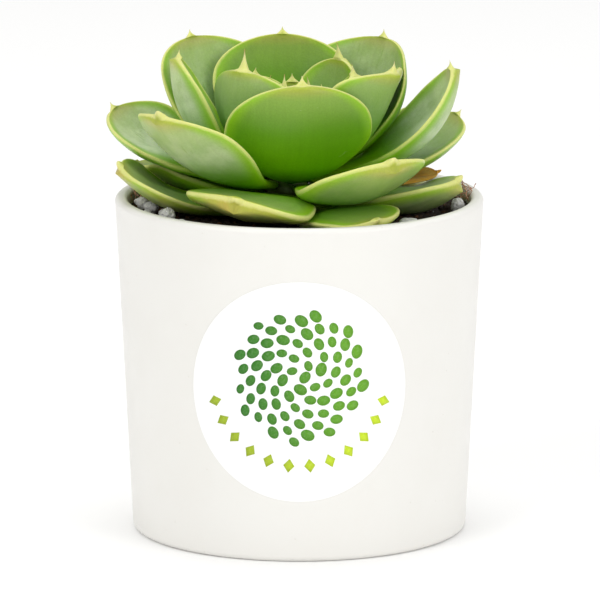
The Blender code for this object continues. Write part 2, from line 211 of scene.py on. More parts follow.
def arc(centre_x, centre_z, radius, start, end, steps):
    """Points of a round corner, as (radius from the axis, height)."""
    turns = [math.radians(start + (end - start) * i / steps) for i in range(steps + 1)]
    return [(centre_x + radius * math.cos(t), centre_z + radius * math.sin(t)) for t in turns]


def turned(profile, sides, centre=(0.0, 0.0)):
    """A closed solid of revolution in millimetres. The profile runs from the axis at the bottom, up the
    outside, and back to the axis."""
    x, y = centre
    turns = [2 * math.pi * k / sides for k in range(sides)]
    points = [(x, y, profile[0][1])]
    for radius, height in profile[1:-1]:
        points += [(x + radius * math.cos(t), y + radius * math.sin(t), height) for t in turns]
    points.append((x, y, profile[-1][1]))
    faces = []
    last = len(points) - 1
    for k in range(sides):
        after = (k + 1) % sides
        faces.append((0, 1 + after, 1 + k))
        for ring in range(len(profile) - 3):
            a, b = 1 + ring * sides + k, 1 + ring * sides + after
            faces.append((a, b, b + sides, a + sides))
        top = 1 + (len(profile) - 3) * sides
        faces.append((top + k, top + after, last))
    mesh = bpy.data.meshes.new("turned")
    mesh.from_pydata([tuple(v * MM for v in p) for p in points], [], faces)
    return mesh


def pot_radius(height):
    """Outer radius of the pot at a height, in millimetres."""
    return POT_FOOT_RADIUS + (POT_RIM_RADIUS - POT_FOOT_RADIUS) * height / POT_HEIGHT


def distance_from_axis(tree, place):
    return vector(tree, "LENGTH", vector(tree, "MULTIPLY", place, (1.0, 1.0, 0.0)), output="Value")


def make_glaze():
    material, tree, shader = new_material("white_glaze", GLAZE_WHITE[:3], 0.42)
    place = own_place(tree)
    height = node(tree, "ShaderNodeSeparateXYZ", {0: place}).outputs["Z"]
    clouds = ramp(tree, grain(tree, place, 55.0, 4.0, 0.6), 0.42, 0.72)
    colour = blend_colours(tree, times(tree, clouds, 0.35), GLAZE_WHITE, GLAZE_CLOUD)
    foot = ramp(tree, height, 0.010, 0.0, 0.0, 0.35)
    colour = blend_colours(tree, foot, colour, GLAZE_CLOUD)
    # soil dust climbs a little way up the inner wall, in patches
    radius = distance_from_axis(tree, place)
    wall = POT_RIM_RADIUS - POT_WALL
    inside = ramp(tree, radius, (wall + 0.7) * MM, (wall + 0.1) * MM)
    low = times(tree, ramp(tree, height, (POT_HEIGHT - 0.4) * MM, (SOIL_LEVEL + 0.2) * MM),
                ramp(tree, height, (SOIL_LEVEL - 1.0) * MM, (SOIL_LEVEL - 0.8) * MM))
    patches = ramp(tree, grain(tree, place, 420.0, 5.0, 0.7), 0.40, 0.62)
    dust = times(tree, times(tree, inside, low), patches)
    colour = blend_colours(tree, dust, colour, GLAZE_DUST)
    pins = node(tree, "ShaderNodeTexVoronoi", {"Vector": place, "Scale": 260.0}).outputs["Distance"]
    pin = ramp(tree, pins, 0.06, 0.02)
    colour = blend_colours(tree, times(tree, pin, 0.25), colour, (0.55, 0.50, 0.43, 1.0))
    tree.links.new(colour, shader.inputs["Base Color"])
    gloss = ramp(tree, grain(tree, place, 130.0, 3.0, 0.6), 0.3, 0.7, 0.36, 0.50)
    tree.links.new(plus(tree, gloss, times(tree, dust, 0.4)), shader.inputs["Roughness"])
    ripple = grain(tree, place, 90.0, 2.0, 0.4)
    skin = plus(tree, times(tree, grain(tree, place, 900.0, 2.0), 0.12), ripple)
    bump(tree, shader, value(tree, "SUBTRACT", skin, times(tree, pin, 0.5)), 0.00012)
    shader.inputs["Coat Weight"].default_value = 0.12
    shader.inputs["Coat Roughness"].default_value = 0.25
    return material


pot_foot = pot_radius(POT_FOOT_BEVEL)
pot_shoulder = POT_HEIGHT - POT_RIM_ROUND
pot_inner = POT_RIM_RADIUS - POT_WALL
pot_profile = [(0.0, 0.0), (POT_FOOT_RADIUS - POT_FOOT_BEVEL - 1.0, 0.0)]
pot_profile += arc(pot_foot - POT_FOOT_BEVEL, POT_FOOT_BEVEL, POT_FOOT_BEVEL, -90, 0, 8)
pot_profile += [(pot_radius(h), h) for h in np.linspace(POT_FOOT_BEVEL + 1.0, pot_shoulder - 1.0, 16)]
pot_profile += arc(POT_RIM_RADIUS - POT_RIM_ROUND, pot_shoulder, POT_RIM_ROUND, 0, 90, 8)
pot_profile += arc(pot_inner + POT_RIM_ROUND, pot_shoulder, POT_RIM_ROUND, 90, 180, 8)
wall_heights = (SOIL_LEVEL, 60.0, 40.0, 20.0, POT_FLOOR + 1.0, POT_FLOOR)
pot_profile += [(pot_radius(h) - POT_WALL, h) for h in wall_heights]
pot_profile += [(20.0, POT_FLOOR), (0.0, POT_FLOOR)]
piece("pot_shell", turned(pot_profile, POT_SIDES), make_glaze(), "ceramic", "pot")

# The label: a round sticker of white vinyl, pressed on round the front of the pot. It is printed with a
# plain roundel of oval green dots in a spiral, and a row of lime lozenges below it.
LABEL_RADIUS = 24.2
LABEL_CENTRE = 37.7
LABEL_THICKNESS = 0.14
LABEL_RINGS = 30
LABEL_SIDES = 160
PRINT_CENTRE = 3.3           # the roundel sits a little above the label's centre
PRINT_RADIUS = 14.4
PRINT_DOTS = 72
DOT_LENGTH = 3.0
DOT_WIDTH = 2.3
DOT_SIDES = 24
DOT_LEAN = 0.95              # radians from the spiral's own radius
DOT_SCALE = (0.72, 1.05)
LOZENGE_COUNT = 12
LOZENGE_LENGTH = 3.1
LOZENGE_WIDTH = 2.4
LOZENGE_RADIUS = 19.6
LOZENGE_SPREAD = 144.0       # degrees of arc
INK_THICKNESS = 0.03
VINYL_WHITE = (0.93, 0.93, 0.93, 1.0)
INK_DARK = (0.018, 0.180, 0.001, 1.0)
INK_LIGHT = (0.120, 0.360, 0.001, 1.0)
LIME_DARK = (0.330, 0.450, 0.001, 1.0)
LIME_LIGHT = (0.560, 0.740, 0.001, 1.0)


def wrap_on_pot(mesh, stand_off):
    """Bends a flat mesh in millimetres, X along and Y up from the label's centre, round the pot. Its own
    thickness is Z."""
    for vert in mesh.vertices:
        height = LABEL_CENTRE + vert.co.y
        bend = vert.co.x / pot_radius(height)
        radius = pot_radius(height) + stand_off + vert.co.z
        vert.co = Vector((radius * math.sin(bend), -radius * math.cos(bend), height)) * MM


def make_label_mesh():
    """A thin disc with a rounded edge."""
    profile = [(0.0, 0.0)]
    profile += [(LABEL_RADIUS * i / LABEL_RINGS, 0.0) for i in range(1, LABEL_RINGS)]
    edge = LABEL_THICKNESS / 2
    profile += arc(LABEL_RADIUS - edge, edge, edge, -90, 90, 4)
    profile += [(LABEL_RADIUS * i / LABEL_RINGS, LABEL_THICKNESS) for i in range(LABEL_RINGS - 1, 0, -1)]
    profile += [(0.0, LABEL_THICKNESS)]
    mesh = turned(profile, LABEL_SIDES)
    mesh.transform(Matrix.Scale(1 / MM, 4))
    wrap_on_pot(mesh, 0.0)
    return mesh


def make_vinyl():
    material, tree, shader = new_material("white_vinyl", VINYL_WHITE[:3], 0.34)
    place = own_place(tree)
    faint = ramp(tree, grain(tree, place, 140.0, 4.0, 0.6), 0.45, 0.8, 0.0, 0.25)
    colour = blend_colours(tree, faint, VINYL_WHITE, (0.895, 0.895, 0.885, 1.0))
    tree.links.new(colour, shader.inputs["Base Color"])
    gloss = ramp(tree, grain(tree, place, 300.0, 3.0), 0.3, 0.7, 0.28, 0.42)
    tree.links.new(gloss, shader.inputs["Roughness"])
    bump(tree, shader, grain(tree, place, 1500.0, 3.0, 0.6), 0.00002)
    return material


def make_ink():
    """Ink that turns from dark green on the left to light green on the right, and lime low down."""
    material, tree, shader = new_material("printed_ink", INK_DARK[:3], 0.4)
    place = own_place(tree)
    parts = node(tree, "ShaderNodeSeparateXYZ", {0: place})
    sideways = ramp(tree, parts.outputs["X"], -PRINT_RADIUS * MM, PRINT_RADIUS * MM)
    colour = blend_colours(tree, sideways, INK_DARK, INK_LIGHT)
    is_lozenge = stored(tree, "lozenge")
    lime = blend_colours(tree, sideways, LIME_DARK, LIME_LIGHT)
    colour = blend_colours(tree, is_lozenge, colour, lime)
    screen = ramp(tree, grain(tree, place, 2600.0, 2.0), 0.35, 0.75, 0.0, 0.05)
    colour = blend_colours(tree, screen, colour, (0.75, 0.82, 0.6, 1.0))
    tree.links.new(colour, shader.inputs["Base Color"])
    gloss = ramp(tree, grain(tree, place, 900.0, 2.0), 0.3, 0.7, 0.34, 0.46)
    tree.links.new(gloss, shader.inputs["Roughness"])
    return material


def new_group(name, sockets):
    """A Geometry Nodes tree with a mesh input and named number inputs."""
    tree = bpy.data.node_groups.new(name, "GeometryNodeTree")
    tree.interface.new_socket("Geometry", in_out="INPUT", socket_type="NodeSocketGeometry")
    tree.interface.new_socket("Geometry", in_out="OUTPUT", socket_type="NodeSocketGeometry")
    for label, kind in sockets:
        tree.interface.new_socket(label, in_out="INPUT", socket_type=kind)
    return tree, node(tree, "NodeGroupInput"), node(tree, "NodeGroupOutput")


def grown(name, tree, settings, base=None):
    """Runs a Geometry Nodes tree on a base mesh and returns the plain mesh that it makes."""
    base = base or bpy.data.meshes.new(name + "_base")
    holder = bpy.data.objects.new(name + "_holder", base)
    bpy.context.scene.collection.objects.link(holder)
    modifier = holder.modifiers.new("grow", "NODES")
    modifier.node_group = tree
    for item in tree.interface.items_tree:
        if item.in_out == "INPUT" and item.name in settings:
            modifier[item.identifier] = settings[item.name]
    graph = bpy.context.evaluated_depsgraph_get()
    mesh = bpy.data.meshes.new_from_object(
        holder.evaluated_get(graph), preserve_all_data_layers=True, depsgraph=graph)
    bpy.data.objects.remove(holder, do_unlink=True)
    return mesh


def spot_shape(tree, sides, length, width):
    """A small flat polygon: a circle of length 1 stretched to its length and width."""
    disc = node(tree, "GeometryNodeMeshCircle", {"Vertices": sides, "Radius": 0.5}, fill_type="NGON")
    stretch = combined(tree, length, width, 1.0)
    return node(tree, "GeometryNodeTransform", {"Geometry": disc.outputs[0], "Scale": stretch}).outputs[0]


def combined(tree, x, y, z):
    """A vector from its three parts."""
    return node(tree, "ShaderNodeCombineXYZ", {"X": x, "Y": y, "Z": z}).outputs[0]


def points_round(tree, count, distance, turn):
    """Points at a distance and a turn round the middle; both may change from point to point."""
    place = combined(tree, times(tree, distance, value(tree, "COSINE", turn)),
                     times(tree, distance, value(tree, "SINE", turn)), 0.0)
    return node(tree, "GeometryNodePoints", {"Count": count, "Position": place}).outputs[0]


def planted(tree, points, shape, turn, size):
    """A copy of a shape on every point."""
    return node(tree, "GeometryNodeInstanceOnPoints", {
        "Points": points, "Instance": shape, "Rotation": turn, "Scale": size}).outputs[0]


def marked(tree, instances, label, amount):
    """Stores a number on every copy."""
    made = node(tree, "GeometryNodeStoreNamedAttribute", data_type="FLOAT", domain="INSTANCE", inputs={
        "Geometry": instances, "Name": label, "Value": amount})
    return made.outputs[0]


def realized(tree, instances):
    return node(tree, "GeometryNodeRealizeInstances", {0: instances}).outputs[0]


def joined(tree, *parts):
    both = node(tree, "GeometryNodeJoinGeometry")
    for part in parts:
        tree.links.new(part, both.inputs[0])
    return both.outputs[0]


def random_number(tree, low, high, seed, change=0.0):
    """A random number for every point; change picks another row of draws."""
    shifted = plus(tree, seed, change) if change else seed
    return node(tree, "FunctionNodeRandomValue", {2: low, 3: high, "Seed": shifted}).outputs[1]


def coated(tree, result, geometry, matter):
    """Ends a tree: the geometry gets its material and is the tree's result."""
    done = node(tree, "GeometryNodeSetMaterial", {"Geometry": geometry, "Material": matter})
    tree.links.new(done.outputs[0], result.inputs[0])
    return tree


def make_print_tree(ink):
    """Dots in a sunflower spiral, and lozenges spread along an arc below them."""
    tree, given, result = new_group("label_print", (
        ("Dots", "NodeSocketInt"), ("Radius", "NodeSocketFloat"), ("Dot Length", "NodeSocketFloat"),
        ("Dot Width", "NodeSocketFloat"), ("Lozenges", "NodeSocketInt"),
        ("Arc Radius", "NodeSocketFloat"), ("Arc Spread", "NodeSocketFloat"),
        ("Thickness", "NodeSocketFloat"), ("Random Seed", "NodeSocketInt")))
    index = node(tree, "GeometryNodeInputIndex").outputs[0]
    # dots: the golden angle apart, evenly dense out to the radius
    golden = math.pi * (3 - math.sqrt(5))
    share = value(tree, "DIVIDE", plus(tree, index, 0.5), given.outputs["Dots"])
    out = times(tree, value(tree, "SQRT", share), given.outputs["Radius"])
    turn = times(tree, index, golden)
    points = points_round(tree, given.outputs["Dots"], out, turn)
    dot = spot_shape(tree, DOT_SIDES, given.outputs["Dot Length"], given.outputs["Dot Width"])
    size = random_number(tree, *DOT_SCALE, given.outputs["Random Seed"])
    dots = planted(tree, points, dot, combined(tree, 0.0, 0.0, plus(tree, turn, DOT_LEAN)), size)
    # lozenges: even steps along the arc, each turned to face its centre
    steps = value(tree, "SUBTRACT", given.outputs["Lozenges"], 1.0)
    part = value(tree, "SUBTRACT", value(tree, "DIVIDE", index, steps), 0.5)
    swing = plus(tree, times(tree, part, given.outputs["Arc Spread"]), -math.pi / 2)
    row = points_round(tree, given.outputs["Lozenges"], given.outputs["Arc Radius"], swing)
    lozenge = spot_shape(tree, 4, LOZENGE_LENGTH, LOZENGE_WIDTH)
    lozenges = marked(tree, planted(tree, row, lozenge, combined(tree, 0.0, 0.0, swing), (1.0, 1.0, 1.0)),
                      "lozenge", 1.0)
    flat = realized(tree, joined(tree, dots, lozenges))
    thick = node(tree, "GeometryNodeExtrudeMesh", {"Mesh": flat, "Offset": combined(tree, 0.0, 0.0, 1.0),
                                                   "Offset Scale": given.outputs["Thickness"]})
    under = node(tree, "GeometryNodeFlipFaces", {"Mesh": flat}).outputs[0]
    closed = node(tree, "GeometryNodeMergeByDistance", {
        "Geometry": joined(tree, thick.outputs["Mesh"], under), "Distance": 0.001}).outputs[0]
    return coated(tree, result, closed, ink)


piece("label_sticker", make_label_mesh(), make_vinyl(), "label", "label")
ink = make_ink()
print_mesh = grown("label_print", make_print_tree(ink), {
    "Dots": PRINT_DOTS, "Radius": PRINT_RADIUS, "Dot Length": DOT_LENGTH, "Dot Width": DOT_WIDTH,
    "Lozenges": LOZENGE_COUNT, "Arc Radius": LOZENGE_RADIUS, "Arc Spread": math.radians(LOZENGE_SPREAD),
    "Thickness": INK_THICKNESS, "Random Seed": 4})
for print_vert in print_mesh.vertices:
    print_vert.co.y += PRINT_CENTRE
wrap_on_pot(print_mesh, LABEL_THICKNESS)
piece("label_print", print_mesh, ink, "label")

# The soil: dark, peaty potting mix that fills the pot to 3 mm below the rim and is hollowed a little
# under the plant. Its surface is rough, with loose crumbs of bark and peat and specks of perlite on it.
SOIL_DISH = 3.4
SOIL_FLAT_FROM = 30.0
SOIL_RINGS = 64
SOIL_SIDES = 180
SOIL_SIDE_GAP = 0.05
SOIL_FOOT_GAP = 0.1
SOIL_LUMPS = ((0.45, 0.34), (1.1, 0.22), (2.6, 0.12))     # per millimetre, height
CRUMB_DENSITY = 0.42         # loose crumbs on each square millimetre
CRUMB_SIZE = (0.5, 1.9)
CRUMB_DENTS = 0.55
CRUMB_CLEAR_OF_STEM = 6.0
SPECK_DENSITY = 0.03
SPECK_SIZE = (0.5, 1.5)
SPECK_CLEAR_OF_STEM = 24.0
PEAT_DARK = (0.013, 0.0075, 0.0045, 1.0)
PEAT_BROWN = (0.075, 0.040, 0.020, 1.0)
BARK_RED = (0.16, 0.070, 0.028, 1.0)
PERLITE_WHITE = (0.97, 0.965, 0.95, 1.0)
PERLITE_SHADE = (0.93, 0.925, 0.91, 1.0)


def smooth(x):
    x = np.clip(x, 0.0, 1.0)
    return x * x * (3.0 - 2.0 * x)


def soil_height(radius):
    """Height of the soil at a distance from the pot's axis, in millimetres."""
    return SOIL_LEVEL - SOIL_DISH * (1 - smooth(np.asarray(radius) / SOIL_FLAT_FROM))


def make_soil_mesh():
    wall = pot_radius(SOIL_LEVEL) - POT_WALL - SOIL_SIDE_GAP
    foot = POT_FLOOR + SOIL_FOOT_GAP
    profile = [(0.0, foot), (pot_radius(foot) - POT_WALL - SOIL_FOOT_GAP, foot)]
    radii = [wall * i / SOIL_RINGS for i in range(SOIL_RINGS, -1, -1)]
    profile += [(radius, float(soil_height(radius))) for radius in radii]
    mesh = turned(profile, SOIL_SIDES)
    places = [vert.co / MM for vert in mesh.vertices]
    for vert in mesh.vertices:
        if vert.co.z > (foot + 1.0) * MM:
            for fineness, height in SOIL_LUMPS:
                vert.co.z += height * noise.noise(places[vert.index] * fineness) * MM
    return mesh


def make_earth(name, colours, roughness, glow=0.0):
    """Crumbly matter in three colours; each loose crumb has its own shade."""
    material, tree, shader = new_material(name, colours[0][:3], roughness)
    place = own_place(tree)
    shade = stored(tree, "crumb_shade")
    broad = ramp(tree, grain(tree, place, 480.0, 5.0, 0.65), 0.32, 0.68)
    fine = ramp(tree, grain(tree, place, 2400.0, 4.0, 0.7), 0.35, 0.70)
    colour = blend_colours(tree, broad, colours[0], colours[1])
    colour = blend_colours(tree, times(tree, fine, 0.5), colour, colours[0])
    colour = blend_colours(tree, ramp(tree, shade, 0.55, 1.0), colour, colours[2])
    tree.links.new(colour, shader.inputs["Base Color"])
    tree.links.new(ramp(tree, fine, 0.0, 1.0, roughness - 0.12, roughness), shader.inputs["Roughness"])
    bump(tree, shader, plus(tree, fine, times(tree, broad, 0.8)), 0.0003)
    shader.inputs["Subsurface Weight"].default_value = glow
    shader.inputs["Subsurface Radius"].default_value = (1.0, 1.0, 1.0)
    shader.inputs["Subsurface Scale"].default_value = 1.2 * MM
    return material


def random_vector(tree, low, high, seed):
    """A random vector for every point, each part between its own two limits."""
    return node(tree, "FunctionNodeRandomValue", {0: low, 1: high, "Seed": seed},
                data_type="FLOAT_VECTOR").outputs[0]


def scaled(tree, first, factor):
    return node(tree, "ShaderNodeVectorMath", {0: first, "Scale": factor}, operation="SCALE").outputs[0]


def jittered(tree, geometry, scale, detail, reach):
    """Geometry with each point moved up to about half of reach by noise."""
    lumps = node(tree, "ShaderNodeTexNoise", {"Scale": scale, "Detail": detail}).outputs["Color"]
    shift = scaled(tree, vector(tree, "SUBTRACT", lumps, (0.5, 0.5, 0.5)), reach)
    return node(tree, "GeometryNodeSetPosition", {"Geometry": geometry, "Offset": shift}).outputs[0]


def make_crumb_tree(matter):
    """Loose crumbs scattered on the upward faces of a surface: a rounded chunk, stretched, turned and
    dented differently at every place."""
    tree, given, result = new_group("crumbs_" + matter.name, (
        ("Density", "NodeSocketFloat"), ("Smallest", "NodeSocketFloat"), ("Largest", "NodeSocketFloat"),
        ("Inner Radius", "NodeSocketFloat"), ("Random Seed", "NodeSocketInt")))
    seed = given.outputs["Random Seed"]
    facing = node(tree, "GeometryNodeInputNormal").outputs[0]
    upward = node(tree, "ShaderNodeSeparateXYZ", {0: facing}).outputs["Z"]
    radius = distance_from_axis(tree, node(tree, "GeometryNodeInputPosition").outputs[0])
    open_soil = times(tree, value(tree, "GREATER_THAN", upward, 0.4),
                      value(tree, "GREATER_THAN", radius, given.outputs["Inner Radius"]))
    spread = node(tree, "GeometryNodeDistributePointsOnFaces", {
        "Mesh": given.outputs[0], "Selection": open_soil, "Density": given.outputs["Density"],
        "Seed": seed})
    cube = node(tree, "GeometryNodeMeshCube", {"Size": (1.0, 1.0, 1.0), "Vertices X": 3, "Vertices Y": 3,
                                               "Vertices Z": 3}).outputs[0]
    corner = node(tree, "GeometryNodeInputPosition").outputs[0]
    ball = vector(tree, "NORMALIZE", corner)
    half = vector(tree, "MULTIPLY", ball, (0.5, 0.5, 0.4))
    chunk = node(tree, "GeometryNodeSetPosition", {"Geometry": cube, "Position": half}).outputs[0]
    turn = random_vector(tree, (-0.6, -0.6, 0.0), (0.6, 0.6, 6.28), seed)
    pick = random_number(tree, 0.0, 1.0, seed, 1.0)
    span = value(tree, "SUBTRACT", given.outputs["Largest"], given.outputs["Smallest"])
    size = plus(tree, given.outputs["Smallest"], times(tree, value(tree, "POWER", pick, 2.6), span))
    stretch = random_vector(tree, (0.6, 0.6, 0.45), (1.4, 1.2, 0.9), plus(tree, seed, 2.0))
    scale = scaled(tree, stretch, size)
    placed = planted(tree, spread.outputs["Points"], chunk, turn, scale)
    shade = random_number(tree, 0.0, 1.0, seed, 3.0)
    loose = realized(tree, marked(tree, placed, "crumb_shade", shade))
    return coated(tree, result, jittered(tree, loose, 1400.0, 1.0, CRUMB_DENTS * MM), matter)


soil_mesh = make_soil_mesh()
peat = make_earth("peat", (PEAT_DARK, PEAT_BROWN, BARK_RED), 0.95)
perlite = make_earth("perlite", (PERLITE_WHITE, PERLITE_SHADE, PERLITE_WHITE), 0.85, 0.4)
crumb_mesh = grown("soil_crumbs", make_crumb_tree(peat), {
    "Density": CRUMB_DENSITY / MM ** 2, "Smallest": CRUMB_SIZE[0] * MM, "Largest": CRUMB_SIZE[1] * MM,
    "Inner Radius": CRUMB_CLEAR_OF_STEM * MM, "Random Seed": 11}, soil_mesh.copy())
speck_mesh = grown("perlite_specks", make_crumb_tree(perlite), {
    "Density": SPECK_DENSITY / MM ** 2, "Smallest": SPECK_SIZE[0] * MM, "Largest": SPECK_SIZE[1] * MM,
    "Inner Radius": SPECK_CLEAR_OF_STEM * MM, "Random Seed": 23}, soil_mesh.copy())
piece("soil_bed", soil_mesh, peat, "soil", "soil")
piece("soil_crumbs", crumb_mesh, peat, "soil")
piece("perlite_specks", speck_mesh, perlite, "perlite")

# Perlite stones: puffed volcanic glass, chalky white and pitted, lying on the soil by the wall. Each is
# a ball pushed out of round and dented, as big as its solid in the model.
STONE_SINK = 0.3             # how far a stone has settled into the soil
STONE_NAMES = sorted(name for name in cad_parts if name.startswith("stone_"))


def make_stone_mesh(name, seed):
    low, high = (Vector(corner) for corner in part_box(name))
    bm = bmesh.new()
    bmesh.ops.create_icosphere(bm, subdivisions=5, radius=1.0)
    shift = Vector((seed * 7.3, seed * 3.1, seed * 5.7))
    for vert in bm.verts:
        place = vert.co.copy()
        form = 0.86 + 0.20 * noise.noise(place * 1.3 + shift) + 0.10 * noise.noise(place * 3.1 + shift)
        pits = max(0.0, noise.noise(place * 6.5 + shift) - 0.12)
        vert.co = place * (form - 0.22 * pits + 0.02 * noise.noise(place * 15.0 + shift))
    reach = [max(abs(v.co[axis]) for v in bm.verts) for axis in range(3)]
    half = (high - low) / 2
    for vert in bm.verts:
        vert.co = (low + high) / 2 + Vector(vert.co[axis] / reach[axis] * half[axis] for axis in range(3))
        vert.co.z -= STONE_SINK * MM
    mesh = bpy.data.meshes.new(name)
    bm.to_mesh(mesh)
    bm.free()
    return mesh


for stone_number, stone_name in enumerate(STONE_NAMES, 1):
    stone_mesh = make_stone_mesh(stone_name, stone_number)
    piece("perlite_" + stone_name, stone_mesh, perlite, "perlite", stone_name)

# Dry rootlets: a few red-brown hairs of old root, lying on the soil by the wall at the plant's right and
# left. Each is a thin crooked tube.
ROOTLET_TUFTS = (
    # azimuth, distance from the axis, height over the soil, hairs, random seed
    (8.0, 36.4, 2.6, 16, 3),
    (172.0, 34.4, 0.7, 14, 8),
)
TUFT_SHAPE = (0.45, 1.0, 0.28)
TUFT_SPREAD = 3.6
ROOTLET_THICKNESS = 0.075
ROOTLET_ARC = 1.6
ROOTLET_SWEEP = 2.4          # radians
ROOTLET_KINKS = 1.6
ROOTLET_BROWN = (0.34, 0.13, 0.07, 1.0)
ROOTLET_PALE = (0.62, 0.36, 0.24, 1.0)


def make_rootlet_material():
    material, tree, shader = new_material("dry_rootlet", ROOTLET_BROWN[:3], 0.8)
    place = own_place(tree)
    bands = ramp(tree, grain(tree, place, 900.0, 3.0), 0.35, 0.7)
    tree.links.new(blend_colours(tree, bands, ROOTLET_BROWN, ROOTLET_PALE), shader.inputs["Base Color"])
    bump(tree, shader, grain(tree, place, 5000.0, 2.0), 0.00004)
    return material


def make_rootlet_tree(matter):
    """Hairs over an area of soil: short arcs turned at random, kinked by noise, given thickness."""
    tree, given, result = new_group("rootlets", (
        ("Centre", "NodeSocketVector"), ("Count", "NodeSocketInt"), ("Spread", "NodeSocketFloat"),
        ("Thickness", "NodeSocketFloat"), ("Random Seed", "NodeSocketInt")))
    seed = given.outputs["Random Seed"]
    reach = scaled(tree, TUFT_SHAPE, given.outputs["Spread"])
    back = vector(tree, "MULTIPLY", reach, (-1.0, -1.0, -0.2))
    scatter = random_vector(tree, back, reach, seed)
    place = vector(tree, "ADD", scatter, given.outputs["Centre"])
    points = node(tree, "GeometryNodePoints", {"Count": given.outputs["Count"], "Position": place})
    arc_curve = node(tree, "GeometryNodeCurveArc", {"Resolution": 14, "Radius": ROOTLET_ARC * MM,
                                                  "Sweep Angle": ROOTLET_SWEEP})
    turn = random_vector(tree, (-1.2, -1.2, 0.0), (1.2, 1.2, 6.28), plus(tree, seed, 1.0))
    size = random_number(tree, 0.5, 1.5, seed, 2.0)
    hairs = planted(tree, points.outputs[0], arc_curve.outputs[0], turn, size)
    loose = realized(tree, hairs)
    crooked = jittered(tree, loose, 700.0, 2.0, ROOTLET_KINKS * MM)
    ring = node(tree, "GeometryNodeCurvePrimitiveCircle", {
        "Resolution": 6, "Radius": given.outputs["Thickness"]})
    tubes = node(tree, "GeometryNodeCurveToMesh", {"Curve": crooked, "Profile Curve": ring.outputs[0],
                                                   "Fill Caps": True}).outputs[0]
    return coated(tree, result, tubes, matter)


rootlet_matter = make_rootlet_material()
rootlet_tree = make_rootlet_tree(rootlet_matter)
for tuft_number, (azimuth, distance, lift, hairs, tuft_seed) in enumerate(ROOTLET_TUFTS, 1):
    turn = math.radians(azimuth)
    tuft_place = Vector((distance * math.cos(turn), distance * math.sin(turn), SOIL_LEVEL + lift)) * MM
    tuft_mesh = grown("rootlets", rootlet_tree, {
        "Centre": tuft_place, "Count": hairs, "Spread": TUFT_SPREAD * MM,
        "Thickness": ROOTLET_THICKNESS * MM, "Random Seed": tuft_seed})
    piece(f"rootlets_{tuft_number}", tuft_mesh, rootlet_matter, "soil")

# The stem: short and fleshy, hidden in the rosette. It carries the leaves close together and keeps the
# ridged scars of the ones that dropped off.
PLANT_AXIS = (-2.5, 0.0)
STEM = (
    # height above the rim, radius
    (-6.2, 5.4), (-4.0, 4.7), (1.0, 4.6), (5.0, 4.3), (7.5, 3.4), (9.5, 2.5), (11.5, 1.7), (13.2, 0.9),
)
STEM_RINGS = 70
STEM_SIDES = 72
SCAR_HEIGHT = 1.9
SCAR_RELIEF = 0.035
STEM_SWELL = 0.05


def make_stem_mesh():
    heights = np.linspace(STEM[0][0], STEM[-1][0], STEM_RINGS)
    radii = np.interp(heights, [h for h, _ in STEM], [r for _, r in STEM])
    profile = [(0.0, POT_HEIGHT + heights[0])]
    profile += [(radius, POT_HEIGHT + height) for height, radius in zip(heights, radii)]
    profile += [(0.0, POT_HEIGHT + heights[-1] + 0.3)]
    mesh = turned(profile, STEM_SIDES, PLANT_AXIS)
    axis = Vector((PLANT_AXIS[0], PLANT_AXIS[1], 0.0))
    for vert in mesh.vertices:
        place = vert.co / MM - axis
        height = place.z - POT_HEIGHT
        turn = math.atan2(place.y, place.x)
        scars = math.cos(2 * math.pi * (height / SCAR_HEIGHT + 1.5 * turn / math.pi))
        swell = 1 + SCAR_RELIEF * scars + STEM_SWELL * noise.noise(place * 0.5)
        vert.co = (Vector((place.x * swell, place.y * swell, place.z)) + axis) * MM
    return mesh


def make_stem_material():
    material, tree, shader = new_material("stem_dark_painted_shade", (0.25, 0.3, 0.12), 0.6)
    place = own_place(tree)
    height = node(tree, "ShaderNodeSeparateXYZ", {0: place}).outputs["Z"]
    young = ramp(tree, height, (POT_HEIGHT - 3.0) * MM, (POT_HEIGHT + 3.0) * MM)
    # the browns, greens and blotches are all very dark: painted shade standing in for the shadow deep in
    # the rosette
    colour = blend_colours(tree, young, (0.09, 0.05, 0.022, 1.0), (0.05, 0.11, 0.006, 1.0))
    blotch = ramp(tree, grain(tree, place, 380.0, 4.0), 0.4, 0.7, 0.0, 0.6)
    colour = blend_colours(tree, blotch, colour, (0.03, 0.045, 0.006, 1.0))
    tree.links.new(colour, shader.inputs["Base Color"])
    bump(tree, shader, grain(tree, place, 1300.0, 4.0), 0.0002)
    return material


piece("leafy_stem", make_stem_mesh(), make_stem_material(), "stem", "stem")

# The leaves: thick, fleshy and spoon-shaped, in whorls round the stem, each ending in a small spine. They
# are green with a grey wax bloom and a thin pale rim, with painted shade at each leaf's foot and painted
# light where light shines through the flesh, the margin and the rim. Each is bent until it clears its
# neighbours, by the same rule as the solids, then made again as a fine mesh with a lip, faint waves and
# its own markings.
GAP = 0.3
LEAF_ROWS = 9
LEAF_AROUND = 10
LEAF_TIP_ROWS = 2
FINE_ROWS = 60
FINE_AROUND = 72
FINE_TIP_ROWS = 12
SETTLE_TURNS = 60
SETTLE_CLEARANCE = 0.42
SETTLE_STEP = 0.9
LIFT_ROWS = 8
LIFT_COLUMNS = 5
LIFT_LIMIT = 6.0
LEAF_END = 0.995              # where the blade ends and the spine begins
ROW_CROWDING = 1.35           # rows lie closer together towards the tip
UPPER_SHARE = 0.22            # of a leaf's thickness, over its middle surface
LOWER_SHARE = 0.78
KEEL_SHARE = 0.25
SPINE_POINT = 0.06            # radius of a spine's end
SPINE_TAPER = 1.9
NUB_SPINE = 1.7               # a spine shorter than this is a rounded nub, not a thorn
NUB_SHAPE = 0.55
LIP_HEIGHT = 0.06
WAVE_HEIGHT = 0.11

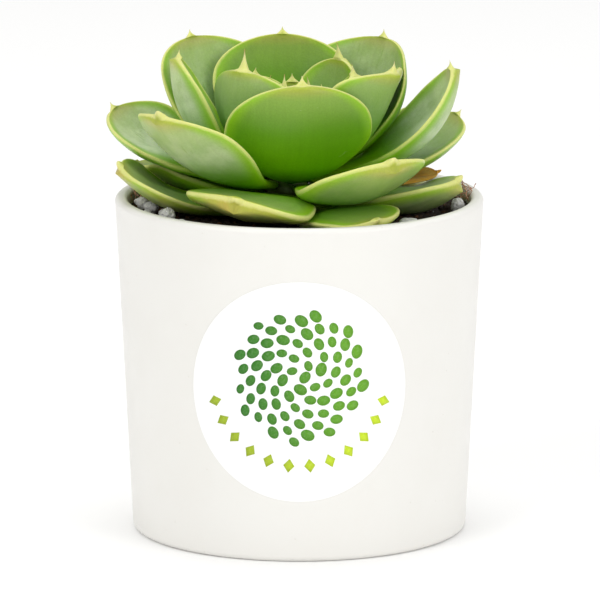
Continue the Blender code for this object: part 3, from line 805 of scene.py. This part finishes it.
FOOT_PAINTED_SHADE_GREEN = (0.075, 0.230, 0.001, 1.0)
FRESH_GREEN_WITH_PAINTED_GLOW = (0.185, 0.460, 0.001, 1.0)
BODY_GREEN = (0.110, 0.275, 0.012, 1.0)
BLOOM_GREEN = (0.600, 0.705, 0.470, 1.0)
PAINTED_GLOW_GREEN = (0.290, 0.560, 0.006, 1.0)
TIP_GREEN = (0.400, 0.520, 0.130, 1.0)
RIM_CREAM_AND_PAINTED_GLOW = (0.740, 0.740, 0.270, 1.0)
WARM_YELLOW = (0.500, 0.390, 0.080, 1.0)
SPINE_CREAM = (0.720, 0.680, 0.320, 1.0)
SPINE_TIP = (0.480, 0.240, 0.090, 1.0)
SCAR_PALE = (0.600, 0.660, 0.400, 1.0)
FLECK_BROWN = (0.300, 0.180, 0.050, 1.0)
DRY_AMBER = (0.680, 0.330, 0.025, 1.0)
DRY_TAN = (0.620, 0.380, 0.100, 1.0)
DRY_BROWN = (0.200, 0.080, 0.020, 1.0)


def leaf(name, azimuth, seat, rise, tip_rise, length, width, **odd):
    """A leaf's shape. It grows at an azimuth, seat millimetres above the rim, and its heading turns
    from rise to tip_rise above the horizontal on the way to its tip."""
    shape = dict(name=name, azimuth=azimuth, seat=seat, rise=rise, tip_rise=tip_rise, length=length,
                 width=width, bend=1.0, cup=0.3, roll=0.0, broad=0.66, neck=0.14, blunt=2.4, thick=3.6,
                 spine=2.0, spine_width=1.6, spine_lift=20.0, root=4.6, bloom=0.35, warm=0.0)
    shape.update(odd)
    return shape


BUD = dict(cup=0.4, root=2.0, thick=1.8, spine=3.0, spine_width=0.9)
LEAVES = (
    # the lowest whorl, inside the rim
    leaf("outer_leaf_1", 301, -1.3, -12, 12, 33, 21, cup=0.15, roll=9, bloom=0.04),
    leaf("outer_leaf_2", 252, 2.0, -2, 14, 30.5, 28, cup=-0.06, broad=0.66, neck=0.3, roll=-9, thick=5.2,
         spine=1.2, root=5.4, bloom=0.15, warm=0.45),
    leaf("outer_leaf_3", 349, -0.8, -11, 30, 34, 21, cup=0.22, roll=-2, thick=5.0, spine=1.6, bloom=0.42,
         warm=0.15),
    leaf("outer_leaf_4", 196, -0.5, -10, 40, 35, 22, cup=0.25, roll=-14, spine=1.6, bloom=0.34,
         warm=0.45),
    leaf("outer_leaf_5", 158, -0.5, -2, 20, 32, 20, bloom=0.13, warm=0.2),
    leaf("outer_leaf_6", 34, -0.8, -6, 8, 30, 20, cup=0.2),
    leaf("outer_leaf_7", 75, -0.5, -6, 16, 31, 22, cup=0.25),
    leaf("outer_leaf_8", 118, -0.5, -6, 20, 32, 22, cup=0.25),
    # an old leaf, dried up between the whorls
    leaf("dry_leaf", 12, 0.6, -3, 18, 29, 9, roll=40, bend=1.4, thick=1.1, spine=1.2, spine_width=0.5),
    # the second whorl, spreading over the rim
    leaf("lower_leaf_1", 306, 1.4, 3, 35, 35.5, 28.5, cup=0.08, broad=0.68, roll=2, thick=4.5, spine=1.6,
         bloom=0.2, warm=0.1),
    leaf("lower_leaf_2", 22, 1.8, 2, 39, 38.3, 26, roll=12, spine=1.8, bloom=0.47, warm=0.05),
    leaf("lower_leaf_3", 166, 2.9, 2, 50, 38.6, 26, roll=-14, bend=1.3, spine=1.8, bloom=0.95, warm=0.05),
    leaf("lower_leaf_4", 222, 2.4, 13, 49, 38, 29, cup=0.2, broad=0.7, spine=1.6, bloom=0.59, warm=0.1),
    leaf("lower_leaf_5", 66, 2.0, 6, 38, 35, 26, bloom=0.51, warm=0.1),
    leaf("lower_leaf_6", 116, 2.0, 6, 38, 35, 26, bloom=0.51, warm=0.1),
    # the third whorl, standing up round the heart
    leaf("middle_leaf_1", 358, 4.0, 14, 88, 42, 20, roll=10, bend=2.0, spine=2.0, bloom=0.85),
    leaf("middle_leaf_2", 139, 4.2, 29, 70, 37, 29, roll=-10, spine=1.8, bloom=0.42),
    leaf("middle_leaf_3", 184, 4.4, 22, 86, 34, 20, cup=0.35, spine=2.0, bloom=0.95),
    leaf("middle_leaf_4", 38, 4.6, 28, 75, 36, 31, cup=0.42, spine=2.0, bloom=0.51),
    leaf("middle_leaf_5", 93.5, 4.8, 38, 87, 32, 30, roll=-8, spine=1.8, bloom=0),
    leaf("middle_leaf_6", 278.5, 4.0, 27, 84, 30, 32, cup=0.14, broad=0.57, neck=0.1, blunt=2.5,
         spine=2.2, bloom=0),
    leaf("middle_leaf_7", 341, 4.6, 30, 71, 31.5, 29, cup=0.35, roll=-14, blunt=4.0, spine=2.4,
         bloom=0.21),
    # the heart
    leaf("upper_leaf_1", 225, 6.6, 36, 98, 25.6, 26, cup=0.35, spine=4.8, spine_lift=-6, root=3.8,
         bloom=0.3),
    leaf("upper_leaf_2", 40, 6.8, 40, 88, 24.8, 17, cup=0.35, spine=3.9, root=3.8, bloom=0.17),
    leaf("upper_leaf_3", 350, 7.0, 38, 86, 23.2, 14, cup=0.4, spine=2.6, root=3.8, bloom=0.34),
    leaf("upper_leaf_4", 128, 7.0, 40, 92, 20, 15, cup=0.4, root=3.8),
    leaf("upper_leaf_5", 288, 7.0, 42, 90, 19, 15, cup=0.4, root=3.8),
    leaf("inner_leaf_1", 236, 8.8, 42, 94, 18.5, 12.5, cup=0.4, spine=2.0, root=3.0, thick=2.8),
    leaf("inner_leaf_2", 84, 9.0, 44, 90, 16, 11, cup=0.4, root=3.0, thick=2.6),
    leaf("inner_leaf_3", 164, 9.2, 46, 90, 15.5, 11, cup=0.4, root=3.0, thick=2.6),
    leaf("inner_leaf_4", 330, 9.2, 46, 90, 15.5, 11, cup=0.4, root=3.0, thick=2.6),
    leaf("bud_leaf_1", 30, 11.6, 58, 90, 12, 6, **BUD),
    leaf("bud_leaf_2", 140, 11.6, 58, 90, 12, 6, **BUD),
    leaf("bud_leaf_3", 262, 11.6, 60, 90, 13.5, 6, **BUD),
)


def half_width(shape, s):
    """Outline of a leaf: a narrow neck, widest at broad, then round to the tip."""
    growth = np.sin(np.clip(s / shape["broad"], 0, 1) * np.pi / 2) ** 1.3
    low = shape["neck"] + (1 - shape["neck"]) * growth
    past = np.clip((s - shape["broad"]) / (1 - shape["broad"]), 0, 1)
    high = np.sqrt(np.clip(1 - past ** shape["blunt"], 0, 1))
    return shape["width"] / 2 * np.where(s < shape["broad"], low, high)


def leaf_frames(shape, s):
    """Centre points, headings, upward normals and right-hand sides of a leaf at s, from 0 to 1."""
    azimuth = math.radians(shape["azimuth"])
    ahead = np.array([math.cos(azimuth), math.sin(azimuth), 0.0])
    side = np.array([math.sin(azimuth), -math.cos(azimuth), 0.0])
    up = np.array([0.0, 0.0, 1.0])
    fine = np.linspace(0, 1, 200)
    turn = fine ** shape["bend"]
    rise = np.radians(shape["rise"] + (shape["tip_rise"] - shape["rise"]) * turn)
    step = shape["length"] / (len(fine) - 1)
    out = shape["root"] + step * np.concatenate(([0.0], np.cumsum(np.cos(rise[:-1]))))
    climb = POT_HEIGHT + shape["seat"] + step * np.concatenate(([0.0], np.cumsum(np.sin(rise[:-1]))))
    centre = np.outer(np.interp(s, fine, out), ahead) + np.outer(np.interp(s, fine, climb), up)
    centre += np.array([PLANT_AXIS[0], PLANT_AXIS[1], 0.0])
    angle = np.interp(s, fine, rise)
    heading = np.outer(np.cos(angle), ahead) + np.outer(np.sin(angle), up)
    normal = np.outer(-np.sin(angle), ahead) + np.outer(np.cos(angle), up)
    roll = math.radians(shape["roll"]) * smooth(s / 0.5)
    across = np.outer(np.cos(roll), side) - np.sin(roll)[:, None] * normal
    normal = np.cos(roll)[:, None] * normal + np.outer(np.sin(roll), side)
    return centre, heading, normal, across


def bumps(values, count, low, high):
    """Smooth blending weights of the values over count evenly spaced controls; each row adds up to 1."""
    controls = np.linspace(low, high, count)
    spread = 0.8 * (high - low) / (count - 1)
    weights = np.exp(-((np.asarray(values)[:, None] - controls) / spread) ** 2)
    return weights / weights.sum(axis=1, keepdims=True)


def lift_at(lift, s, x):
    """How far a leaf is bent along its normal at s along it and x across it."""
    return np.einsum("ij,ik,jk->i", bumps(s, LIFT_ROWS, 0, 1), bumps(x, LIFT_COLUMNS, -1, 1), lift)


def leaf_grid(shape, rows, around, tip_rows, lift):
    """Rings of points round a leaf from its base to the end of its spine, with the place along and
    across and the normal of each point."""
    s = LEAF_END * (1 - (1 - np.linspace(0, 1, rows)) ** ROW_CROWDING)
    centre, heading, normal, across = leaf_frames(shape, s)
    angle = np.linspace(0, 2 * np.pi, around, endpoint=False)
    flat = np.sign(np.cos(angle)) * np.abs(np.cos(angle)) ** 0.85
    tall = np.sign(np.sin(angle)) * np.abs(np.sin(angle)) ** 0.9
    half = np.maximum(half_width(shape, s), shape["spine_width"])
    body = 0.5 + 0.5 * np.sin(np.clip(s / 0.5, 0, 1) * np.pi / 2)
    thick = np.minimum(shape["thick"] * body * (1 - 0.45 * smooth((s - 0.55) / 0.45)), half * 1.2)
    x = half[:, None] * flat
    reach = shape["width"] / 2
    cup = shape["cup"] * smooth(s / 0.45)[:, None] * reach * (x / reach) ** 2
    keel = KEEL_SHARE * (thick * smooth((s - 0.3) / 0.6))[:, None] * np.clip(1 - 1.6 * np.abs(flat), 0, 1)
    share = np.where(tall > 0, UPPER_SHARE, LOWER_SHARE)
    rise = share * thick[:, None] * tall - keel * (tall < 0)
    points = centre[:, None] + x[..., None] * across[:, None] + (cup + rise)[..., None] * normal[:, None]
    along = np.repeat(s[:, None], around, axis=1)
    normals = np.repeat(normal[:, None], around, axis=1)
    # the spine carries on from the last ring, bending as it narrows
    rings = []
    point = centre[-1].copy()
    for k in range(1, tip_rows + 1):
        q = k / tip_rows
        bend = math.radians(shape["spine_lift"] * q)
        step = math.cos(bend) * heading[-1] + math.sin(bend) * normal[-1]
        point = point + step * shape["spine"] / tip_rows
        radius = (shape["spine_width"] - SPINE_POINT) * (1 - q) ** SPINE_TAPER + SPINE_POINT
        rings.append(point + radius * (flat[:, None] * across[-1] + 0.6 * tall[:, None] * normal[-1]))
    points = np.concatenate((points, np.array(rings)))
    x = np.concatenate((x / reach, np.zeros((tip_rows, around))))
    along = np.concatenate((along, np.ones((tip_rows, around))))
    normals = np.concatenate((normals, np.repeat(normals[-1:], tip_rows, axis=0)))
    bent = lift_at(lift, along.ravel(), x.ravel()).reshape(along.shape)
    return points + bent[..., None] * normals, along, x, normals


def grid_faces(rings, around, in_triangles=True):
    """Faces of a tube of rings, and the two fans that close its ends, facing out."""
    faces = []
    for i in range(rings - 1):
        for j in range(around):
            a, b = i * around + j, i * around + (j + 1) % around
            c, d = b + around, a + around
            faces += [(a, c, b), (a, d, c)] if in_triangles else [(a, d, c, b)]
    last = (rings - 1) * around
    first_hub, last_hub = rings * around, rings * around + 1
    for j in range(around):
        faces.append((j, (j + 1) % around, first_hub))
        faces.append((last + (j + 1) % around, last + j, last_hub))
    return faces


def floor_height(points):
    """Lowest height that a leaf may have over each point: clear of the soil and of the pot's rim."""
    radius = np.hypot(points[:, 0], points[:, 1])
    inner = POT_RIM_RADIUS - POT_WALL
    over_rim = (radius > inner - GAP) & (radius < POT_RIM_RADIUS + GAP)
    ground = np.where(over_rim, POT_HEIGHT, soil_height(radius))
    return np.where(radius < POT_RIM_RADIUS + GAP, ground + SETTLE_CLEARANCE, -1.0)


def is_inside(tree, point):
    """Whether a point lies in a closed mesh: a ray out of it crosses the mesh an odd number of times."""
    direction = Vector((0.31, 0.17, 0.93)).normalized()
    crossings = 0
    start = point
    while True:
        hit = tree.ray_cast(start, direction)
        if hit[0] is None:
            return crossings % 2 == 1
        crossings += 1
        start = hit[0] + direction * 1e-4


def depth_into(tree, point):
    """How much farther a point must move to clear a mesh, and the direction out of it."""
    place, face_normal, _, distance = tree.find_nearest(point, 4.0)
    if place is None:
        return 0.0, None
    inside = (point - place).dot(face_normal) < 0 and is_inside(tree, point)
    if inside:
        return distance + SETTLE_CLEARANCE, (place - point).normalized()
    return SETTLE_CLEARANCE - distance, (point - place).normalized()


def settle(shapes):
    """Bend the leaves until each clears the others. Where two meet, the one later in the table lies on
    top, so it is lifted along its normal and the earlier one is lowered by as much."""
    lifts = [np.zeros((LIFT_ROWS, LIFT_COLUMNS)) for _ in shapes]
    faces = grid_faces(LEAF_ROWS + LEAF_TIP_ROWS, LEAF_AROUND)
    corners = np.array([f for f in faces if max(f) < (LEAF_ROWS + LEAF_TIP_ROWS) * LEAF_AROUND])
    for _ in range(SETTLE_TURNS):
        bodies = []
        for shape, lift in zip(shapes, lifts):
            points, along, x, normals = leaf_grid(shape, LEAF_ROWS, LEAF_AROUND, LEAF_TIP_ROWS, lift)
            flat = points.reshape(-1, 3)
            closed = np.vstack((flat, points[0].mean(axis=0), points[-1].mean(axis=0)))
            tree = BVHTree.FromPolygons([Vector(p) for p in closed], faces)
            samples = [np.concatenate((v, v[corners].mean(axis=1)))
                       for v in (flat, along.reshape(-1), x.reshape(-1), normals.reshape(-1, 3))]
            bodies.append((samples, tree, flat.min(axis=0), flat.max(axis=0)))
        clashes = 0
        for i, (samples, _, low, high) in enumerate(bodies):
            points, along, x, normals = samples
            shares = bumps(along, LIFT_ROWS, 0, 1)[:, :, None] * bumps(x, LIFT_COLUMNS, -1, 1)[:, None, :]
            shares /= (shares ** 2).sum(axis=(1, 2))[:, None, None]
            raised = np.zeros_like(lifts[i])
            lowered = np.zeros_like(lifts[i])
            for k in np.nonzero(points[:, 2] < floor_height(points))[0]:
                short = (floor_height(points[k:k + 1])[0] - points[k, 2]) / max(normals[k, 2], 0.3)
                raised = np.maximum(raised, min(short, SETTLE_STEP) * shares[k])
            for j, (_, tree, other_low, other_high) in enumerate(bodies):
                apart = np.any(low > other_high + 1) or np.any(other_low > high + 1)
                if i == j or apart:
                    continue
                near = np.all((points > other_low - 1) & (points < other_high + 1), axis=1)
                for k in np.nonzero(near)[0]:
                    short, out = depth_into(tree, Vector(points[k]))
                    if short <= 0:
                        continue
                    clashes += 1
                    slope = max(abs(float(np.dot(out, normals[k]))), 0.4)
                    move = min(0.55 * short / slope, SETTLE_STEP) * shares[k]
                    if i > j:
                        raised = np.maximum(raised, move)
                    else:
                        lowered = np.maximum(lowered, move)
            lifts[i] = np.clip(lifts[i] + raised - lowered, -LIFT_LIMIT, LIFT_LIMIT)
        if not clashes:
            break
    return lifts


def fine_leaf_mesh(shape, lift, number):
    """The finished leaf: a fine closed mesh, with the values its material needs stored on its points."""
    grid, along, x, normals = leaf_grid(shape, FINE_ROWS, FINE_AROUND, FINE_TIP_ROWS, lift)
    rows = FINE_ROWS + FINE_TIP_ROWS
    reach = shape["width"] / 2
    tip_share = np.clip((np.arange(rows) - FINE_ROWS + 1) / FINE_TIP_ROWS, 0, 1)
    tip_share = tip_share[:, None] * np.ones(FINE_AROUND)
    if shape["spine"] < NUB_SPINE:
        left = 1 - np.arange(1, FINE_TIP_ROWS + 1) / FINE_TIP_ROWS
        slim = shape["spine_width"] - SPINE_POINT
        fuller = (slim * left ** NUB_SHAPE + SPINE_POINT) / (slim * left ** SPINE_TAPER + SPINE_POINT)
        hubs = grid[FINE_ROWS:].mean(axis=1, keepdims=True)
        grid[FINE_ROWS:] = hubs + (grid[FINE_ROWS:] - hubs) * fuller[:, None, None]
    # distance from the margin, measured round the leaf's skin
    steps = np.linalg.norm(np.roll(grid, -1, axis=1) - grid, axis=2)
    walked = np.concatenate((np.zeros((rows, 1)), np.cumsum(steps, axis=1)), axis=1)
    left = FINE_AROUND // 2
    girth, middle = walked[:, -1:], walked[:, left:left + 1]
    place_round = walked[:, :-1]
    to_side = np.minimum(np.abs(place_round - middle), np.minimum(place_round, girth - place_round))
    sharp = min(shape["spine"] / 2.8, 1.0) ** 2
    to_tip = 2.4 * (1 - along) * shape["length"] + 2.5 * (1 - sharp)
    edge = np.minimum(to_side, to_tip) * (1 - sharp * (tip_share > 0))
    angle = np.linspace(0, 2 * np.pi, FINE_AROUND, endpoint=False)
    upper = (0.5 + 0.5 * np.clip(np.sin(angle) * 4, -1, 1))[None, :] * np.ones((rows, 1))
    body = smooth(along / 0.15) * (1 - smooth(tip_share / 0.3))
    lip = LIP_HEIGHT * np.exp(-((edge - 0.55) / 0.45) ** 2) * body * (2 * upper - 1)
    waves = np.zeros_like(edge)
    for i in range(rows):
        for j in range(FINE_AROUND):
            place = Vector((x[i, j] * reach, along[i, j] * shape["length"],
                            number * 11.0 + 3.0 * upper[i, j]))
            waves[i, j] = noise.noise(place * 0.16) + 0.35 * noise.noise(place * 0.45)
    grid = grid + ((lip + WAVE_HEIGHT * waves * body)[..., None]) * normals
    points = np.vstack((grid.reshape(-1, 3), grid[0].mean(axis=0), grid[-1].mean(axis=0))) * MM
    faces = grid_faces(rows, FINE_AROUND, in_triangles=False)
    mesh = bpy.data.meshes.new(shape["name"])
    mesh.from_pydata(points.tolist(), [], faces)
    stored = dict(leaf_across=x * reach * MM, leaf_along=along * shape["length"] * MM, leaf_part=along,
                  leaf_edge=edge, leaf_upper=upper, leaf_spine=tip_share * (0.35 + 0.65 * sharp))
    for label, numbers in stored.items():
        ends = [numbers[0].mean(), numbers[-1].mean()]
        flat = np.concatenate((numbers.reshape(-1), ends)).astype(np.float32)
        mesh.attributes.new(label, "FLOAT", "POINT").data.foreach_set("value", flat)
    constants = dict(leaf_number=number * 0.37, leaf_bloom=shape["bloom"], leaf_warm=shape["warm"])
    for label, number_stored in constants.items():
        flat = np.full(len(points), number_stored, dtype=np.float32)
        mesh.attributes.new(label, "FLOAT", "POINT").data.foreach_set("value", flat)
    return mesh


def leaf_space(tree, across=1.0, along=1.0):
    """A place on the leaf's own surface in metres, stretched across or along it, and unlike any other
    leaf's."""
    apart = plus(tree, stored(tree, "leaf_number"),
                  times(tree, stored(tree, "leaf_upper"), 0.011))
    return node(tree, "ShaderNodeCombineXYZ", {
        "X": times(tree, stored(tree, "leaf_across"), across),
        "Y": times(tree, stored(tree, "leaf_along"), along), "Z": apart}).outputs[0]


def make_leaf_material():
    material, tree, shader = new_material("waxy_leaf", BODY_GREEN[:3], 0.45)
    part = stored(tree, "leaf_part")
    edge = stored(tree, "leaf_edge")
    spine = stored(tree, "leaf_spine")
    warm = stored(tree, "leaf_warm")
    skin = leaf_space(tree)
    lengthwise = leaf_space(tree, 1.0, 0.10)
    clouds = grain(tree, skin, 170.0, 4.0, 0.6)
    streaks = grain(tree, lengthwise, 900.0, 3.0, 0.6)
    specks = grain(tree, skin, 2600.0, 3.0, 0.6)
    # flesh: dark green at the foot, painted shade where the leaves crowd round the stem; then fresh
    # green, the flesh's own colour brightened with painted light shining through the leaf; then duller
    # green towards the tip
    colour = blend_colours(tree, ramp(tree, part, 0.04, 0.38), FOOT_PAINTED_SHADE_GREEN, FRESH_GREEN_WITH_PAINTED_GLOW)
    colour = blend_colours(tree, ramp(tree, part, 0.30, 0.78), colour, BODY_GREEN)
    # wax bloom: cloudy, rubbed thin in places, absent near the rim
    inner = ramp(tree, edge, 0.7, 3.8)
    cover = times(tree, stored(tree, "leaf_bloom"), ramp(tree, part, 0.34, 0.74))
    cover = times(tree, cover, ramp(tree, clouds, 0.25, 0.70, 0.55, 1.1))
    cover = times(tree, cover, plus(tree, 0.35, times(tree, inner, 0.65)))
    rubbed = ramp(tree, grain(tree, leaf_space(tree, 1.0, 0.35), 420.0, 5.0, 0.7, 0.6), 0.60, 0.72)
    cover = times(tree, cover, value(tree, "SUBTRACT", 1.0, times(tree, rubbed, 0.55)),
                  clamp=True)
    colour = blend_colours(tree, cover, colour, BLOOM_GREEN)
    # the skin pales towards the tip; inside the rim a yellow-green band is painted light, the glow of
    # light shining through the thin margin
    colour = blend_colours(tree, times(tree, ramp(tree, part, 0.62, 1.0), 0.5), colour, TIP_GREEN)
    glow = times(tree, ramp(tree, edge, 4.2, 0.6), 0.66)
    colour = blend_colours(tree, glow, colour, PAINTED_GLOW_GREEN)
    # blush: warm yellow on old leaves and behind the tip
    ageing = times(tree, warm, ramp(tree, clouds, 0.30, 0.66, 0.35, 1.0))
    ageing = times(tree, ageing, ramp(tree, stored(tree, "leaf_upper"), 0.2, 0.8, 1.0, 0.2))
    tip_blush = times(tree, ramp(tree, part, 0.90, 1.0), 0.45)
    blush = plus(tree, times(tree, ageing, ramp(tree, part, 0.2, 0.7)), tip_blush, clamp=True)
    colour = blend_colours(tree, blush, colour, WARM_YELLOW)
    # pale cream rim: partly the margin's own colour, partly painted light, the glow of light through the
    # thin edge
    ragged = plus(tree, edge, times(tree, value(tree, "SUBTRACT", streaks, 0.5), 0.9))
    rim = times(tree, ramp(tree, ragged, 1.10, 0.10), ramp(tree, part, 0.20, 0.60, 0.0, 0.85))
    colour = blend_colours(tree, rim, colour, RIM_CREAM_AND_PAINTED_GLOW)
    colour = blend_colours(tree, ramp(tree, spine, 0.2, 0.8), colour, SPINE_CREAM)
    colour = blend_colours(tree, ramp(tree, spine, 0.65, 1.0), colour, SPINE_TIP)
    # wear: pale scratches, and a few brown flecks
    scratched = ramp(tree, grain(tree, leaf_space(tree, 0.35, 1.0), 520.0, 3.0, 0.6, 1.2), 0.72, 0.80)
    colour = blend_colours(tree, times(tree, scratched, 0.35), colour, SCAR_PALE)
    dots = node(tree, "ShaderNodeTexVoronoi", {"Vector": skin, "Scale": 190.0}).outputs["Distance"]
    flecked = times(tree, ramp(tree, dots, 0.10, 0.04), ramp(tree, clouds, 0.55, 0.68))
    colour = blend_colours(tree, times(tree, flecked, 0.55), colour, FLECK_BROWN)
    # fine markings: faint lengthwise streaks and specks of wax
    shade = plus(tree, ramp(tree, streaks, 0.25, 0.75, 0.96, 1.03),
                 ramp(tree, specks, 0.3, 0.7, -0.05, 0.05))
    grey = combined(tree, shade, shade, shade)
    colour = blend_colours(tree, 1.0, colour, grey, "MULTIPLY")
    tree.links.new(colour, shader.inputs["Base Color"])
    gloss = plus(tree, ramp(tree, cover, 0.0, 0.8, 0.36, 0.54), ramp(tree, specks, 0.3, 0.7, -0.04, 0.04))
    tree.links.new(gloss, shader.inputs["Roughness"])
    relief = plus(tree, times(tree, clouds, 0.8), times(tree, streaks, 0.15))
    bump(tree, shader, plus(tree, relief, times(tree, specks, 0.16)), 0.00022, 0.8)
    shader.inputs["Specular IOR Level"].default_value = 0.2
    shader.inputs["Subsurface Weight"].default_value = 0.15
    shader.inputs["Subsurface Radius"].default_value = (0.7, 1.0, 0.15)
    shader.inputs["Subsurface Scale"].default_value = 0.0022
    return material


def make_dry_material():
    material, tree, shader = new_material("dry_leaf_brown", (0.5, 0.26, 0.08), 0.75)
    wrinkles = grain(tree, leaf_space(tree, 1.0, 0.12), 1300.0, 4.0, 0.65)
    blotches = grain(tree, leaf_space(tree), 300.0, 4.0, 0.6)
    colour = blend_colours(tree, ramp(tree, blotches, 0.35, 0.68), DRY_AMBER, DRY_TAN)
    colour = blend_colours(tree, ramp(tree, wrinkles, 0.5, 0.75, 0.0, 0.7), colour, DRY_BROWN)
    tree.links.new(colour, shader.inputs["Base Color"])
    bump(tree, shader, wrinkles, 0.0004)
    shader.inputs["Subsurface Weight"].default_value = 0.15
    shader.inputs["Subsurface Scale"].default_value = 0.001
    return material


leaf_wax = make_leaf_material()
dry_brown = make_dry_material()
for leaf_index, (leaf_shape, leaf_lift) in enumerate(zip(LEAVES, settle(LEAVES)), 1):
    leaf_name = leaf_shape["name"]
    leaf_mesh = fine_leaf_mesh(leaf_shape, leaf_lift, leaf_index)
    if leaf_name == "dry_leaf":
        piece("withered_leaf", leaf_mesh, dry_brown, "dry_leaf", leaf_name)
    else:
        piece("waxy_" + leaf_name, leaf_mesh, leaf_wax, "leaf", leaf_name)
